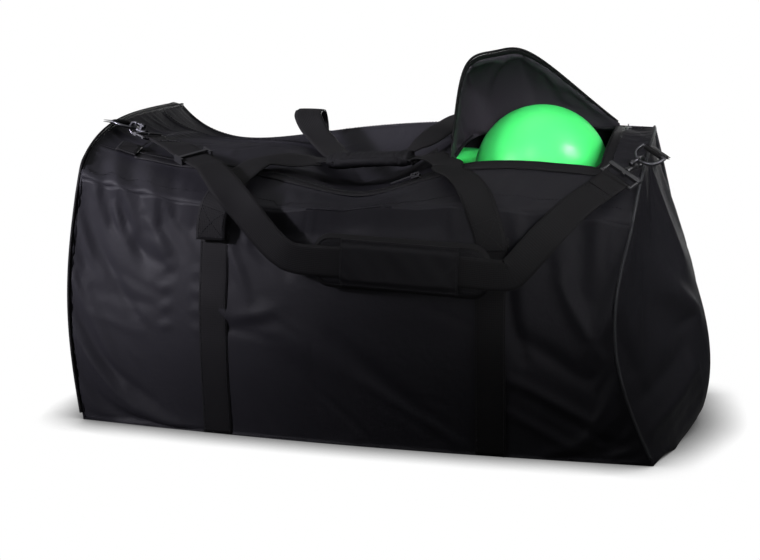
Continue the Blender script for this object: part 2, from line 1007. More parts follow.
# Folds of each panel: start u, v, end u, v, width and height; u, v are shares of the panel
FRONT_FOLDS = (
    (0.01, 0.93, 0.20, 0.70, 7, -2.5), (0.01, 0.95, 0.16, 0.84, 6, -2.0), (0.01, 0.90, 0.13, 0.50, 9, -3.0),
    (0.02, 0.60, 0.10, 0.20, 12, 3.0), (0.02, 0.34, 0.15, 0.13, 6, -3.0), (0.03, 0.28, 0.12, 0.06, 5, 2.5),
    (0.29, 0.95, 0.42, 0.74, 9, -3.5), (0.29, 0.90, 0.36, 0.62, 7, 2.5), (0.30, 0.98, 0.52, 0.86, 7, -2.5),
    (0.33, 0.60, 0.50, 0.35, 22, 2.5), (0.52, 0.45, 0.66, 0.10, 16, -3.0), (0.55, 0.30, 0.70, 0.04, 8, 2.5),
    (0.76, 0.88, 0.80, 0.40, 16, 5.0), (0.80, 0.85, 0.84, 0.42, 10, -5.5),
    (0.85, 0.95, 0.99, 0.60, 14, -4.5), (0.88, 0.86, 0.985, 0.42, 10, 4.5),
    (0.84, 0.50, 0.985, 0.30, 12, -4.0), (0.80, 0.34, 0.97, 0.12, 8, 3.5),
    (0.83, 0.28, 0.98, 0.05, 6, -3.5), (0.79, 0.20, 0.90, 0.04, 6, 2.5), (0.06, 0.99, 0.11, 0.86, 10, -3.5),
    (0.11, 0.88, 0.15, 0.70, 12, -2.5), (0.13, 0.95, 0.19, 0.76, 11, 3.0), (0.27, 0.63, 0.32, 0.52, 9, 2.0),
    (0.32, 0.52, 0.41, 0.58, 10, 2.0), (0.29, 0.50, 0.40, 0.52, 12, -2.0),
)
BACK_FOLDS = (
    (0.02, 0.92, 0.16, 0.55, 12, -4.0), (0.30, 0.96, 0.42, 0.60, 14, 4.0),
    (0.52, 0.95, 0.60, 0.50, 14, -4.0), (0.86, 0.94, 0.97, 0.50, 12, -5.0),
    (0.05, 0.40, 0.18, 0.08, 10, 3.5), (0.60, 0.30, 0.74, 0.06, 12, -3.0),
)
LEFT_FOLDS = (
    (0.10, 0.95, 0.30, 0.60, 14, -4.0), (0.5, 0.97, 0.45, 0.70, 12, 4.0),
    (0.85, 0.92, 0.70, 0.55, 14, -4.0), (0.05, 0.3, 0.3, 0.05, 10, 3.0),
)
RIGHT_FOLDS = (
    (0.03, 0.88, 0.46, 0.42, 17, 8.0), (0.20, 0.60, 0.44, 0.44, 10, 4.5),
    (0.14, 0.62, 0.34, 0.36, 22, -8.0), (0.26, 0.90, 0.44, 0.62, 14, -4.0),
    (0.40, 0.97, 0.52, 0.62, 12, 4.0), (0.32, 0.41, 0.47, 0.42, 6, -3.5), (0.08, 0.12, 0.38, 0.25, 10, 6.0),
    (0.06, 0.24, 0.34, 0.33, 12, -6.0), (0.20, 0.06, 0.42, 0.14, 9, -3.5),
    (0.62, 0.90, 0.80, 0.40, 16, 4.0), (0.66, 0.14, 0.93, 0.40, 11, -3.0),
    (0.34, 0.36, 0.66, 0.34, 95, 9.0),
)
HOOD_FOLDS = (
    (0.30, 0.95, 0.42, 0.40, 12, 5.0), (0.55, 0.98, 0.50, 0.45, 12, -5.0),
    (0.68, 0.96, 0.72, 0.35, 11, 4.5), (0.80, 0.98, 0.84, 0.50, 9, -4.0),
    (0.15, 0.90, 0.25, 0.30, 10, -3.5),
)
POCKET_FOLDS = (
    (0.14, 0.58, 0.32, 0.35, 10, 4.0), (0.80, 0.58, 0.66, 0.30, 12, -4.0), (0.45, 0.60, 0.50, 0.42, 9, 3.0),
    (0.14, 0.12, 0.30, 0.25, 9, -3.0),
)


def as_folds(rows: Sequence[Sequence[float]], more: float = 1.0) -> list[Fold]:
    """Reads a table of folds, each more times as high."""
    return [Fold((u0, v0), (u1, v1), width, height * more) for u0, v0, u1, v1, width, height in rows]


@dataclass
class Panel:
    """One cloth panel between seams, with its folds.

    Folds fade out towards a seam, where the cloth puffs up a little beside a flat hem.
    """

    name: str
    nodes: tuple[str, ...]
    at: Surface
    size: Pair
    u: Pair = (0.0, 1.0)
    v: Pair = (0.0, 1.0)
    flip: bool = False
    folds: list[Fold] = field(default_factory=list)
    settle: Settle | None = None
    step: float = 5.0
    wall: float = 3.0
    fade: float = 22.0
    pillow: float = 0.3
    pillow_rise: Pair = (5.0, 40.0)
    hem: float = 3.0
    warp: Callable = staticmethod(lambda points: points)

    def build(self, finish: Material) -> Piece:
        """Makes the panel: a folded grid, settled, then thickened inwards.

        Args:
            finish: the cloth.

        Returns:
            The piece.
        """
        cols = max(4, round(self.size[0] * (self.u[1] - self.u[0]) / self.step)) + 1
        rows = max(4, round(self.size[1] * (self.v[1] - self.v[0]) / self.step)) + 1
        u, v = np.meshgrid(np.linspace(*self.u, cols), np.linspace(*self.v, rows))
        points = self.at(u, v, 0.0)
        along, up = np.gradient(points, axis=1), np.gradient(points, axis=0)
        out = unit(np.cross(along, up)) * (-1 if self.flip else 1)
        edge = np.minimum.reduce([
            (u - self.u[0]) * self.size[0], (self.u[1] - u) * self.size[0],
            (v - self.v[0]) * self.size[1], (self.v[1] - v) * self.size[1],
        ])
        lift = sum((f.lift(u, v, self.size) for f in self.folds), np.zeros_like(u))
        lift = lift * np.clip(edge / self.fade, 0, 1) ** 0.7
        near, far = self.pillow_rise
        lift += self.pillow * (1 - np.exp(-edge / near)) - self.pillow * np.exp(-edge / far)
        lift *= np.clip(edge / self.hem, 0, 1)
        points = self.warp(points + out * lift[..., None])
        flat = points.reshape(-1, 3)
        flat[:, 2] = np.maximum(flat[:, 2], 0.0)
        thread = np.stack([u * self.size[0], v * self.size[1]], -1).reshape(-1, 2)
        piece = add_mesh(self.name, flat, turned(grid_faces(rows, cols), self.flip), finish, thread)
        if self.settle:
            self.settle.run(piece, (edge < self.step * 0.6).ravel())
            low = coordinates(piece)
            low[:, 2] = np.maximum(low[:, 2], 0.0)
            set_coordinates(piece, low)
        thicken(piece, self.wall, even=True)
        declare(piece, BAG, self.nodes)
        return piece


@dataclass
class Shell:
    """The bag's walls, base and deck."""

    form: BagForm
    finish: Finishes

    def walls(self) -> dict[Side, Piece]:
        """Makes the front, the back and both ends.

        Returns:
            The panels by side.
        """
        form = self.form
        settle = Settle(slack=0.012, gravity=1.0, cap=6.0)
        puckers = []
        for k in range(8):
            low, high = 0.46 + 0.042 * k, 0.9 - 0.3 * (k % 2)
            puckers.append(Fold((0.182, low), (0.203, low + 0.012), 4.6, 1.7 * high * (-1) ** k))
            puckers.append(Fold((0.247, low + 0.01), (0.268, low), 4.6, 1.5 * high * (-1) ** k))
        jobs = [
            ("front", Side.FRONT, form.base_l, as_folds(FRONT_FOLDS, 1.5) + puckers, False, 11),
            ("back", Side.REAR, form.base_l, as_folds(BACK_FOLDS), True, 12),
            ("left_end", Side.LEFT, form.base_w, as_folds(LEFT_FOLDS), True, 13),
            ("right_end", Side.RIGHT, form.base_w, as_folds(RIGHT_FOLDS), False, 14),
        ]
        made = {}
        for name, side, length, folds, flip, seed in jobs:
            size = (length, WALL_H)
            small = Ripples(seed, 46, (30, 120), (3, 9), height=1.6, slope=-50, spread=50).folds(size)
            made[side] = Panel(
                f"{name}_cloth", (f"{name}_panel",), partial(form.wall_at, side), size,
                flip=flip, folds=folds + small, settle=settle, warp=form.slump,
            ).build(self.finish.cloth)
        return made

    def deck(self) -> dict[str, Piece]:
        """Makes the deck round the lid, and the closed part of the lid.

        Returns:
            The panels by node.
        """
        form = self.form
        size = (form.base_l, form.base_w)
        settle = Settle(slack=0.012, gravity=0.8, cap=4.0)
        low, high = form.lid_front_v, form.lid_rear_v
        lid = (form.lid_left_u, form.mouth_left_u)
        jobs = [
            ("deck_front_cloth", "deck_front", (0, 1), (0, low), 21, 26),
            ("deck_rear_cloth", "deck_rear", (0, 1), (high, 1), 22, 26),
            ("deck_left_cloth", "deck_left", (0, form.lid_left_u), (low, high), 23, 6),
            ("deck_right_cloth", "deck_right", (form.mouth_right_u, 1), (low, high), 24, 6),
            ("lid_cloth", "lid_panel", lid, (low + 2 * form.tape_v, high), 25, 30),
        ]
        made = {}
        for name, node, u, v, seed, count in jobs:
            window = (u[0], v[0], u[1], v[1])
            small = Ripples(seed, count, (25, 80), (4, 8), height=2.0, slope=80, spread=40, window=window)
            made[node] = Panel(
                name, (node,), form.deck_at, size, u, v,
                folds=small.folds(size), settle=settle, warp=form.slump,
            ).build(self.finish.cloth)
        return made


@dataclass
class Hood:
    """The raised corner of the lid, one cloth from its fold up to its zip."""

    form: BagForm
    finish: Finishes
    size: Pair = (360.0, 150.0)
    ends: Pair = (0.012, 0.988)
    still: float = 0.11
    turning: float = 0.42

    def bend(self, piece: Piece) -> None:
        """Lets a piece turn with the lid above the fold and stay with the bag below it.

        Args:
            piece: cloth that runs from the fold to the lid's edge.
        """
        middle = np.array([0.5])
        low = self.form.hood_at(middle, np.array([self.still]))[0] * MM
        high = self.form.hood_at(middle, np.array([self.turning]))[0] * MM
        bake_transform(piece)

    def cloth(self) -> None:
        """The hood's cloth with its lining inside."""
        cols, rows = 61, 34
        size = self.size
        a, b = np.meshgrid(np.linspace(*self.ends, cols), np.linspace(0.0, 1.0, rows))
        small = Ripples(31, 26, (20, 60), (4, 8), height=1.6, slope=80, spread=40)
        folds = [*as_folds(HOOD_FOLDS), *small.folds(size)]
        lift = 1.3 * sum(f.lift(a, b, size) for f in folds)
        edge = np.minimum(np.minimum(a - self.ends[0], self.ends[1] - a) * size[0], (1 - b) * size[1])
        outer = self.form.hood_at(a, b, 0.0)
        out = unit(outer - np.array(self.form.ball))
        outer = outer + out * (lift * np.clip(edge / 14, 0, 1))[..., None]
        thread = np.stack([a * size[0], b * size[1]], -1).reshape(-1, 2)
        faces = turned(grid_faces(rows, cols))
        piece = add_mesh("hood_cloth", outer.reshape(-1, 3), faces, self.finish.cloth, thread)
        Settle(slack=0.02, gravity=0.6, cap=5.0).run(piece, (edge.ravel() < 2.0) | (b.ravel() < 0.01))
        piece.data.materials.append(self.finish.lining)
        thicken(piece, 1.6, lining=1)
        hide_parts("lid_flap", "lid_fold")
        self.bend(piece)
        LOG.info("made hood_cloth")


# ---- webbing, cords and sewing ----
def spline(points: Sequence[Sequence[float]], spans: int = 6) -> Grid:
    """Draws a smooth curve through points.

    Args:
        points: rows of a place, and of whatever else changes along the curve.
        spans: new rows for each old one.

    Returns:
        Rows of the curve.
    """
    p = np.array(points, float)
    rows = []
    for i in range(len(p) - 1):
        a, b, c, d = p[max(i - 1, 0)], p[i], p[i + 1], p[min(i + 2, len(p) - 1)]
        for j in range(spans):
            t = j / spans
            rows.append(0.5 * (2 * b + (c - a) * t + (2 * a - 5 * b + 4 * c - d) * t**2
                               + (3 * b - a - 3 * c + d) * t**3))
    return np.array([*rows, p[-1]])


def tangents(p: Grid) -> Grid:
    """Unit direction of a line at each of its points."""
    return unit(np.gradient(p, axis=0))


def lengths(p: Grid) -> Grid:
    """Distance along a line at each of its points."""
    return np.concatenate([[0.0], np.cumsum(np.linalg.norm(np.diff(p, axis=0), axis=1))])


def even(route: Grid, step: float) -> Grid:
    """Spaces a line's points evenly.

    Args:
        route: rows that start with a place.
        step: millimetres between points, about.

    Returns:
        Rows of the same line.
    """
    at = lengths(route[:, :3])
    wanted = np.linspace(0, at[-1], max(3, round(at[-1] / step) + 1))
    return np.stack([np.interp(wanted, at, route[:, k]) for k in range(route.shape[1])], 1)


def sides(route: Grid) -> tuple[Grid, Grid, Grid]:
    """Finds the directions of a strip.

    Args:
        route: rows of a place and a direction across.

    Returns:
        Directions along, across and out of the strip.
    """
    along = tangents(route[:, :3])
    raw = route[:, 3:6]
    across = unit(raw - along * np.sum(along * raw, axis=1, keepdims=True))
    return along, across, np.cross(along, across)


@dataclass
class Strip:
    """Flat webbing with rounded edges along a route of points and directions across."""

    name: str
    route: Grid
    width: float = 40.0
    thick: float = 2.4
    step: float = 4.0
    wave: float = 0.5
    cross: int = 9

    def sway(self, at: Grid, off: Grid) -> Grid:
        """Gentle waves and cupping of the webbing, off millimetres from its middle."""
        cup = np.cos(at / 37.0) * (2 * off / self.width) ** 2
        return self.wave * (np.sin(at / 23.0) * np.sin(at / 61.0 + 1.3) + cup)

    def spot(self, at: Grid, off: Grid) -> tuple[Grid, Grid]:
        """Finds places on the upper face.

        Args:
            at: millimetres along the strip.
            off: millimetres off its middle line.

        Returns:
            Points, and the directions out of the face there.
        """
        route = even(self.route, self.step)
        _, across, out = sides(route)
        along = lengths(route[:, :3])
        middle, side, up = (
            np.stack([np.interp(at, along, part[:, k]) for k in range(3)], 1) for part in (route, across, out)
        )
        side, up = unit(side), unit(up)
        return middle + side * off[:, None] + up * (self.thick + self.sway(at, off) + 0.1)[:, None], up

    def points(self) -> tuple[Grid, Grid]:
        """Works out the strip's rings.

        Returns:
            Rings of points, and their thread distances.
        """
        route = even(self.route, self.step)
        _, across, out = sides(route)
        at = lengths(route[:, :3])
        half, t = self.width / 2, self.thick
        span = np.linspace(-1, 1, self.cross)
        top = [(s * (half - 0.35 * (abs(s) == 1)), t - 0.25 * s**8) for s in span]
        low = [(x, t - z) for x, z in top[::-1]]
        ring = np.array([*top, (half, t / 2), *low, (-half, t / 2)])
        lift = ring[None, :, 1] + self.sway(at[:, None], ring[None, :, 0])
        rings = route[:, None, :3] + across[:, None] * ring[None, :, :1] + out[:, None] * lift[..., None]
        thread = np.stack(np.broadcast_arrays(at[:, None], ring[None, :, 0] + half), -1)
        return rings, thread

    def build(self, finish: Material) -> Piece:
        """Makes the strip.

        Args:
            finish: the webbing.

        Returns:
            The piece.
        """
        rings, thread = self.points()
        faces = turned(tube_faces(*rings.shape[:2]))
        return add_mesh(self.name, rings.reshape(-1, 3), faces, finish, thread.reshape(-1, 2))


@dataclass
class Round:
    """A round cord along a line."""

    name: str
    line: Grid
    radius: float
    sides: int = 10

    def build(self, finish: Material) -> Piece:
        """Makes the cord.

        Args:
            finish: its material.

        Returns:
            The piece.
        """
        line = self.line
        along = tangents(line)
        ref = np.where(np.abs(along[:, 2:3]) > 0.9, np.array([[1.0, 0, 0]]), np.array([[0, 0, 1.0]]))
        a = unit(np.cross(along, ref))
        for i in range(1, len(a)):
            a[i] = unit(a[i - 1] - along[i] * along[i].dot(a[i - 1]))
        b = np.cross(along, a)
        turn = np.linspace(0, 2 * math.pi, self.sides, endpoint=False)
        ring = np.cos(turn)[None, :, None] * a[:, None] + np.sin(turn)[None, :, None] * b[:, None]
        points = line[:, None] + self.radius * ring
        thread = np.stack(np.broadcast_arrays(lengths(line)[:, None], turn[None] * self.radius), -1)
        faces = tube_faces(len(line), self.sides)
        return add_mesh(self.name, points.reshape(-1, 3), faces, finish, thread.reshape(-1, 2))


@dataclass
class Sewing:
    """Rows of single stitches, gathered into one piece."""

    name: str
    body: str
    pitch: float = 4.4
    long: float = 2.9
    radius: float = 0.42
    points: list[Grid] = field(default_factory=list)
    faces: list[tuple[int, ...]] = field(default_factory=list)
    count: int = 0

    def row(self, line: Grid, out: Grid) -> None:
        """Sews a row of stitches.

        Args:
            line: points of the row.
            out: directions out of the cloth at them.
        """
        both = even(np.concatenate([line, out], 1), self.pitch)
        along = tangents(both[:, :3])
        out = unit(both[:, 3:6])
        side = np.cross(along, out)
        ends = np.array([-1.0, -0.6, 0.6, 1.0]) * self.long / 2
        lifts = np.array([0.0, 0.34, 0.34, 0.0])
        for p, d, n, s in zip(both[:, :3], along, out, side):
            for e, h in zip(ends, lifts):
                middle = p + d * e + n * h
                self.points.append(np.array([middle + s * self.radius, middle + n * self.radius,
                                             middle - s * self.radius, middle - n * self.radius]))
            start = self.count
            self.faces += grid_faces(4, 4, start, closed=True)
            self.faces += [tuple(range(start + 3, start - 1, -1)), tuple(range(start + 12, start + 16))]
            self.count += 16

    def on_strip(self, strip: Strip, offset: float, low: float = 0.0, high: float = 1.0) -> None:
        """Sews along a strip.

        Args:
            strip: the webbing.
            offset: millimetres from its middle line.
            low: where the row starts, as a share of the strip.
            high: where it ends.
        """
        full = lengths(strip.route[:, :3])[-1]
        at = np.linspace(low * full, high * full, max(3, round((high - low) * full / 5)))
        self.row(*strip.spot(at, np.full_like(at, offset)))

    def box(self, strip: Strip, start: float, end: float, inset: float = 3.5) -> None:
        """Sews a box with a cross on a strip.

        Args:
            strip: the webbing.
            start: millimetres along it.
            end: millimetres along it.
            inset: millimetres from the strip's edges.
        """
        edge = strip.width / 2 - inset
        corners = [(start, -edge), (start, edge), (end, edge), (end, -edge), (start, -edge), (end, edge)]
        for a, b in [*zip(corners, corners[1:]), ((start, edge), (end, -edge))]:
            t = np.linspace(0, 1, 14)
            self.row(*strip.spot(a[0] + (b[0] - a[0]) * t, a[1] + (b[1] - a[1]) * t))

    def on_cloth(self, line: Grid, cloth: Piece, lift: float = 0.15) -> None:
        """Sews along a line, laid on the nearest cloth.

        Args:
            line: points near the cloth.
            cloth: a finished piece.
            lift: millimetres that the thread lies above it.
        """
        spots, normals = [], []
        for p in line:
            hit, where, normal, _ = cloth.closest_point_on_mesh(Vector((p * MM).tolist()))
            if hit:
                spots.append(np.array(where) / MM + np.array(normal) * lift)
                normals.append(np.array(normal))
        self.row(np.array(spots), np.array(normals))

    def close(self, finish: Material) -> Piece:
        """Makes one piece of all rows.

        Args:
            finish: the thread.

        Returns:
            The piece.
        """
        points = np.concatenate(self.points)
        piece = add_mesh(self.name, points, self.faces, finish, np.zeros((self.count, 2)))
        declare(piece, self.body)
        return piece


# Handle routes: points with the direction across the strip
TAIL_FRONT_LEFT = [[-190, -222, 262, -1, 0, 0], [-189, -219, 290, -1, 0, 0], [-182, -213, 314, -1, 0, 0],
                   [-170, -192, 336, -1, -0.2, 0], [-160, -166, 347, -1, 0, 0], [-158, -152.5, 350, -1, 0, 0]]
STRAND_FRONT_LEFT = [[-157, -147.5, 351, -1, 0, 0], [-150, -130, 354, -0.85, 0.5, 0.1],
                     [-124, -102, 353, -0.5, 0.8, 0.3], [-98, -82, 350, -0.3, 0.95, 0.15],
                     [-80, -75, 349.4, 0, 1, 0]]
STRAND_FRONT_RIGHT = [[44, -75, 358.6, 0, 1, 0], [60, -88, 364, 0.5, 0.85, 0.1],
                      [76, -110, 367, 0.75, 0.65, 0.15], [94, -131, 364, 0.85, 0.5, 0],
                      [106, -142, 361, 1, 0.1, 0], [108, -147.5, 359.5, 1, 0, 0]]
TAIL_FRONT_RIGHT = [[108, -152.5, 358.5, 1, 0, 0], [113, -164, 357, 1, 0.2, 0],
                    [138, -186, 351, 0.85, 0.4, 0], [160, -207, 333, 1, 0.2, 0], [173, -219, 308, 1, 0, 0],
                    [182, -224, 284, 1, 0, 0], [184, -225, 266, 1, 0, 0]]
TAIL_REAR_LEFT = [[-190, 222, 262, 1, 0, 0], [-190, 215, 300, 1, 0, 0], [-189, 205, 340, 1, 0, 0],
                  [-188, 198.5, 370, 1, 0, 0], [-187, 184, 388.5, 1, 0, 0], [-186, 166.5, 389, 1, 0, 0]]
STRAND_REAR = [[-186, 160.5, 389, 1, 0, 0], [-176, 130, 384, 1, 0.2, 0], [-155, 95, 369, 1, 0.4, 0],
               [-130, 60, 359, 1, 0.5, 0], [-112, 34, 354, 1, 0.4, 0], [-98, 10, 351, 1, 0.6, 0],
               [-82, -14, 349, 0.7, 0.8, 0], [-60, -26, 350, 0, 1, 0], [14, -26, 356, 0, 1, 0],
               [30, -16, 364, -0.6, 0.8, 0], [40, 8, 374, -1, 0.3, 0], [46, 50, 383, -1, 0, 0],
               [50, 110, 389, -1, 0, 0], [52, 160.5, 389, -1, 0, 0]]
TAIL_REAR_RIGHT = [[52, 166, 388.5, -1, 0, 0], [53, 177, 390, -1, 0, 0], [64, 188, 394, -0.74, 0.57, -0.18],
                   [80, 197, 391, -0.7, 0.48, -0.48], [110, 201, 375, -0.74, 0.2, -0.62],
                   [143, 204, 349, -0.82, 0.15, -0.53], [170, 210, 320, -0.92, 0.08, -0.34],
                   [183, 217, 294, -1, 0, -0.08], [184, 222, 266, -1, 0, 0]]


@dataclass
class Carrying:
    """Sewn bands and the two carrying handles with their wrap."""

    form: BagForm
    finish: Finishes
    band_x: Pair = (-188.0, 184.0)
    width: float = 40.0
    front_top: float = 0.885
    rear_top: float = 0.77
    front_hinge: float = -150.0
    rear_hinge: float = 163.0
    hinge_z: float = 355.0
    bend: float = 5.0
    sewn: float = 40.0
    inset: float = 3.0
    grip: Point = (56.0, 24.0, 11.0)

    def bands(self, walls: dict[Side, Piece], sewing: Sewing) -> None:
        """Makes the two bands of the front and the two of the back.

        Args:
            walls: the wall panels.
            sewing: the stitches that hold the bands.
        """
        for side in (Side.FRONT, Side.REAR):
            for x, end in zip(self.band_x, (Side.LEFT, Side.RIGHT)):
                self.band(side, x, f"band_{side.value}_{end.value}", walls[side], sewing)

    def band(self, side: Side, x: float, node: str, cloth: Piece, sewing: Sewing) -> None:
        """Lays a band over the cloth of a wall and sews it along both edges.

        Args:
            side: the wall.
            x: place of its middle line.
            node: the frame's node that it stands for.
            cloth: the wall's panel.
            sewing: the stitches that hold it.
        """
        way = side.way
        v = np.linspace(0.004, self.front_top if side is Side.FRONT else self.rear_top, 50)
        span = np.linspace(0, 1, 81)
        u = np.array([np.interp(x, self.form.wall_at(side, span, span * 0 + k)[:, 0], span) for k in v])
        across = np.linspace(-0.5, 0.5, 9) * self.width / self.form.base_l
        uu, vv = u[:, None] + across[None], np.repeat(v[:, None], 9, 1)
        flat = self.form.wall_at(side, uu, vv)
        lift = np.zeros_like(uu)
        down = Vector((0, -way, 0))
        for i, j in np.ndindex(uu.shape):
            x0, y0, z0 = flat[i, j] * MM
            hit, where, _, _ = cloth.ray_cast(Vector((x0, y0 + way * 0.04, max(z0, 0.001))), down)
            if hit:
                lift[i, j] = way * (where[1] / MM - flat[i, j, 1])
        row = np.maximum(lift.mean(axis=1), lift.max(axis=1) - 1.2)
        row = np.convolve(np.pad(row, 3, "edge"), np.ones(7) / 7, "valid")
        middle = self.form.wall_at(side, u, v)
        middle[:, 1] += way * (row + 0.5)
        route = np.concatenate([middle, np.tile([way, 0.0, 0.0], (len(v), 1))], 1)
        strip = Strip(f"{node}_web", route, self.width, thick=2.0, wave=0.15)
        declare(strip.build(self.finish.webbing), BAG, (node,))
        for offset in (-0.5, 0.5):
            sewing.on_strip(strip, offset * (self.width - 5))

    def handles(self, sewing: Sewing) -> None:
        """Makes both handles, each one strip from tail to tail that turns at its hinge.

        Args:
            sewing: the stitches that hold them to the bands.
        """
        front = [*TAIL_FRONT_LEFT, *STRAND_FRONT_LEFT, *STRAND_FRONT_RIGHT, *TAIL_FRONT_RIGHT]
        rear = [*TAIL_REAR_LEFT, *STRAND_REAR, *TAIL_REAR_RIGHT]
        jobs = [
            (front, FRONT_HANDLE, Side.FRONT.way, self.front_hinge),
            (rear, REAR_HANDLE, Side.REAR.way, self.rear_hinge),
        ]
        for points, node, way, hinge in jobs:
            route = spline(points)
            route[:, 3:6] = self.same_way(route)
            strip = Strip(f"{node}_web", route, self.width, thick=2.2, wave=0.7)
            piece = strip.build(self.finish.webbing)
            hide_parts(node)
            before, after = (
                (0, (hinge + way * reach) * MM, self.hinge_z * MM) for reach in (self.bend, -self.bend)
            )
            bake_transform(piece)
            full = lengths(route[:, :3])[-1]
            sewing.box(strip, 4.0, self.sewn)
            sewing.box(strip, full - self.sewn, full - 4.0)
            for offset in (self.inset - self.width / 2, self.width / 2 - self.inset):
                sewing.on_strip(strip, offset, (self.sewn + 4) / full, 0.14)
                sewing.on_strip(strip, offset, 0.86, 1 - (self.sewn + 4) / full)
            LOG.info("made %s", piece.name)

    @staticmethod
    def same_way(route: Grid) -> Grid:
        """Keeps a handle from flipping over.

        Args:
            route: rows of a place and a direction across.

        Returns:
            Directions across, none turned over from the one before it.
        """
        across = unit(route[:, 3:6])
        for i in range(1, len(across)):
            if across[i].dot(across[i - 1]) < 0:
                across[i] = -across[i]
        return across

    def wrap(self) -> None:
        """Makes the padded wrap round the front handle, swollen between its bound ends."""
        start, end = np.array([-80.0, -75.0, 350.6]), np.array([44.0, -75.0, 359.8])
        middle, along = (start + end) / 2, unit(end - start)
        across = np.array([0.0, 1.0, 0.0])
        up = np.cross(along, across)
        half, wide, high = self.grip
        rows, cols = 57, 36
        at = np.linspace(-1, 1, rows)
        turn = np.linspace(0, 2 * math.pi, cols, endpoint=False)
        full = 1 - 0.12 * at**4 - 0.05 * np.exp(-(((np.abs(at) - 0.90) / 0.03) ** 2))
        crease = 0.35 * np.sin(at * 33 + 1.0) * np.sin(at * 11)
        y = (wide * full)[:, None] * np.cos(turn)[None]
        z = (high * full + crease)[:, None] * np.sin(turn)[None]
        points = middle + (at * half)[:, None, None] * along + y[..., None] * across + z[..., None] * up
        thread = np.stack(np.broadcast_arrays((at * half)[:, None], turn[None] * 18), -1).reshape(-1, 2)
        faces = tube_faces(rows, cols)
        piece = add_mesh("grip_cloth", points.reshape(-1, 3), faces, self.finish.padding, thread)
        ends = np.zeros((rows, cols), bool)
        ends[:3] = ends[-3:] = True
        Settle(slack=0.03, pressure=1.2, gravity=0.0, cap=1.6, frames=12).run(piece, ends.ravel())
        declare(piece, FRONT_HANDLE, ("grip_wrap",))
        sewing = Sewing("grip_stitches", FRONT_HANDLE)
        oval = np.outer(np.cos(turn), across) * wide + np.outer(np.sin(turn), up) * high
        for offset in (-0.86, 0.86):
            sewing.on_cloth((middle + along * half * offset + oval)[1 : cols // 2], piece)
        for lift in (0.35, 2.75):
            beside = wide * math.cos(lift) * across + high * math.sin(lift) * up
            sewing.on_cloth(middle + np.outer(at[6:-6] * half, along) + beside, piece)
        sewing.close(self.finish.thread)


# ---- the two strap ends ----
@dataclass(frozen=True)
class End:
    """Frame of one end's hardware: X along the pull, at the ring's wire."""

    name: str
    tip: Point
    pull: Point
    roll: float
    drop: float

    def turn(self) -> Grid:
        """Works out the rotation from this frame to the bag's.

        Returns:
            A matrix whose columns are this frame's axes.
        """
        d = unit(np.array(self.pull))
        a, b, c = math.atan2(d[1], d[0]), -math.asin(d[2]), math.radians(self.roll)
        rz = np.array([[math.cos(a), -math.sin(a), 0], [math.sin(a), math.cos(a), 0], [0, 0, 1.0]])
        ry = np.array([[math.cos(b), 0, math.sin(b)], [0, 1.0, 0], [-math.sin(b), 0, math.cos(b)]])
        rx = np.array([[1.0, 0, 0], [0, math.cos(c), -math.sin(c)], [0, math.sin(c), math.cos(c)]])
        return rz @ ry @ rx

    def to_bag(self, points: Grid) -> Grid:
        """Points of this frame in the bag's."""
        return np.array(self.tip) + points @ self.turn().T


LEFT_END = End("left", (-358.672, -81.632, 387.152), (62, -28, -17), roll=-8, drop=12)
RIGHT_END = End("right", (352.792, -127.193, 373.932), (-0.55, -0.75, -0.42), roll=-28, drop=35)
EYE_REACH = 46.0


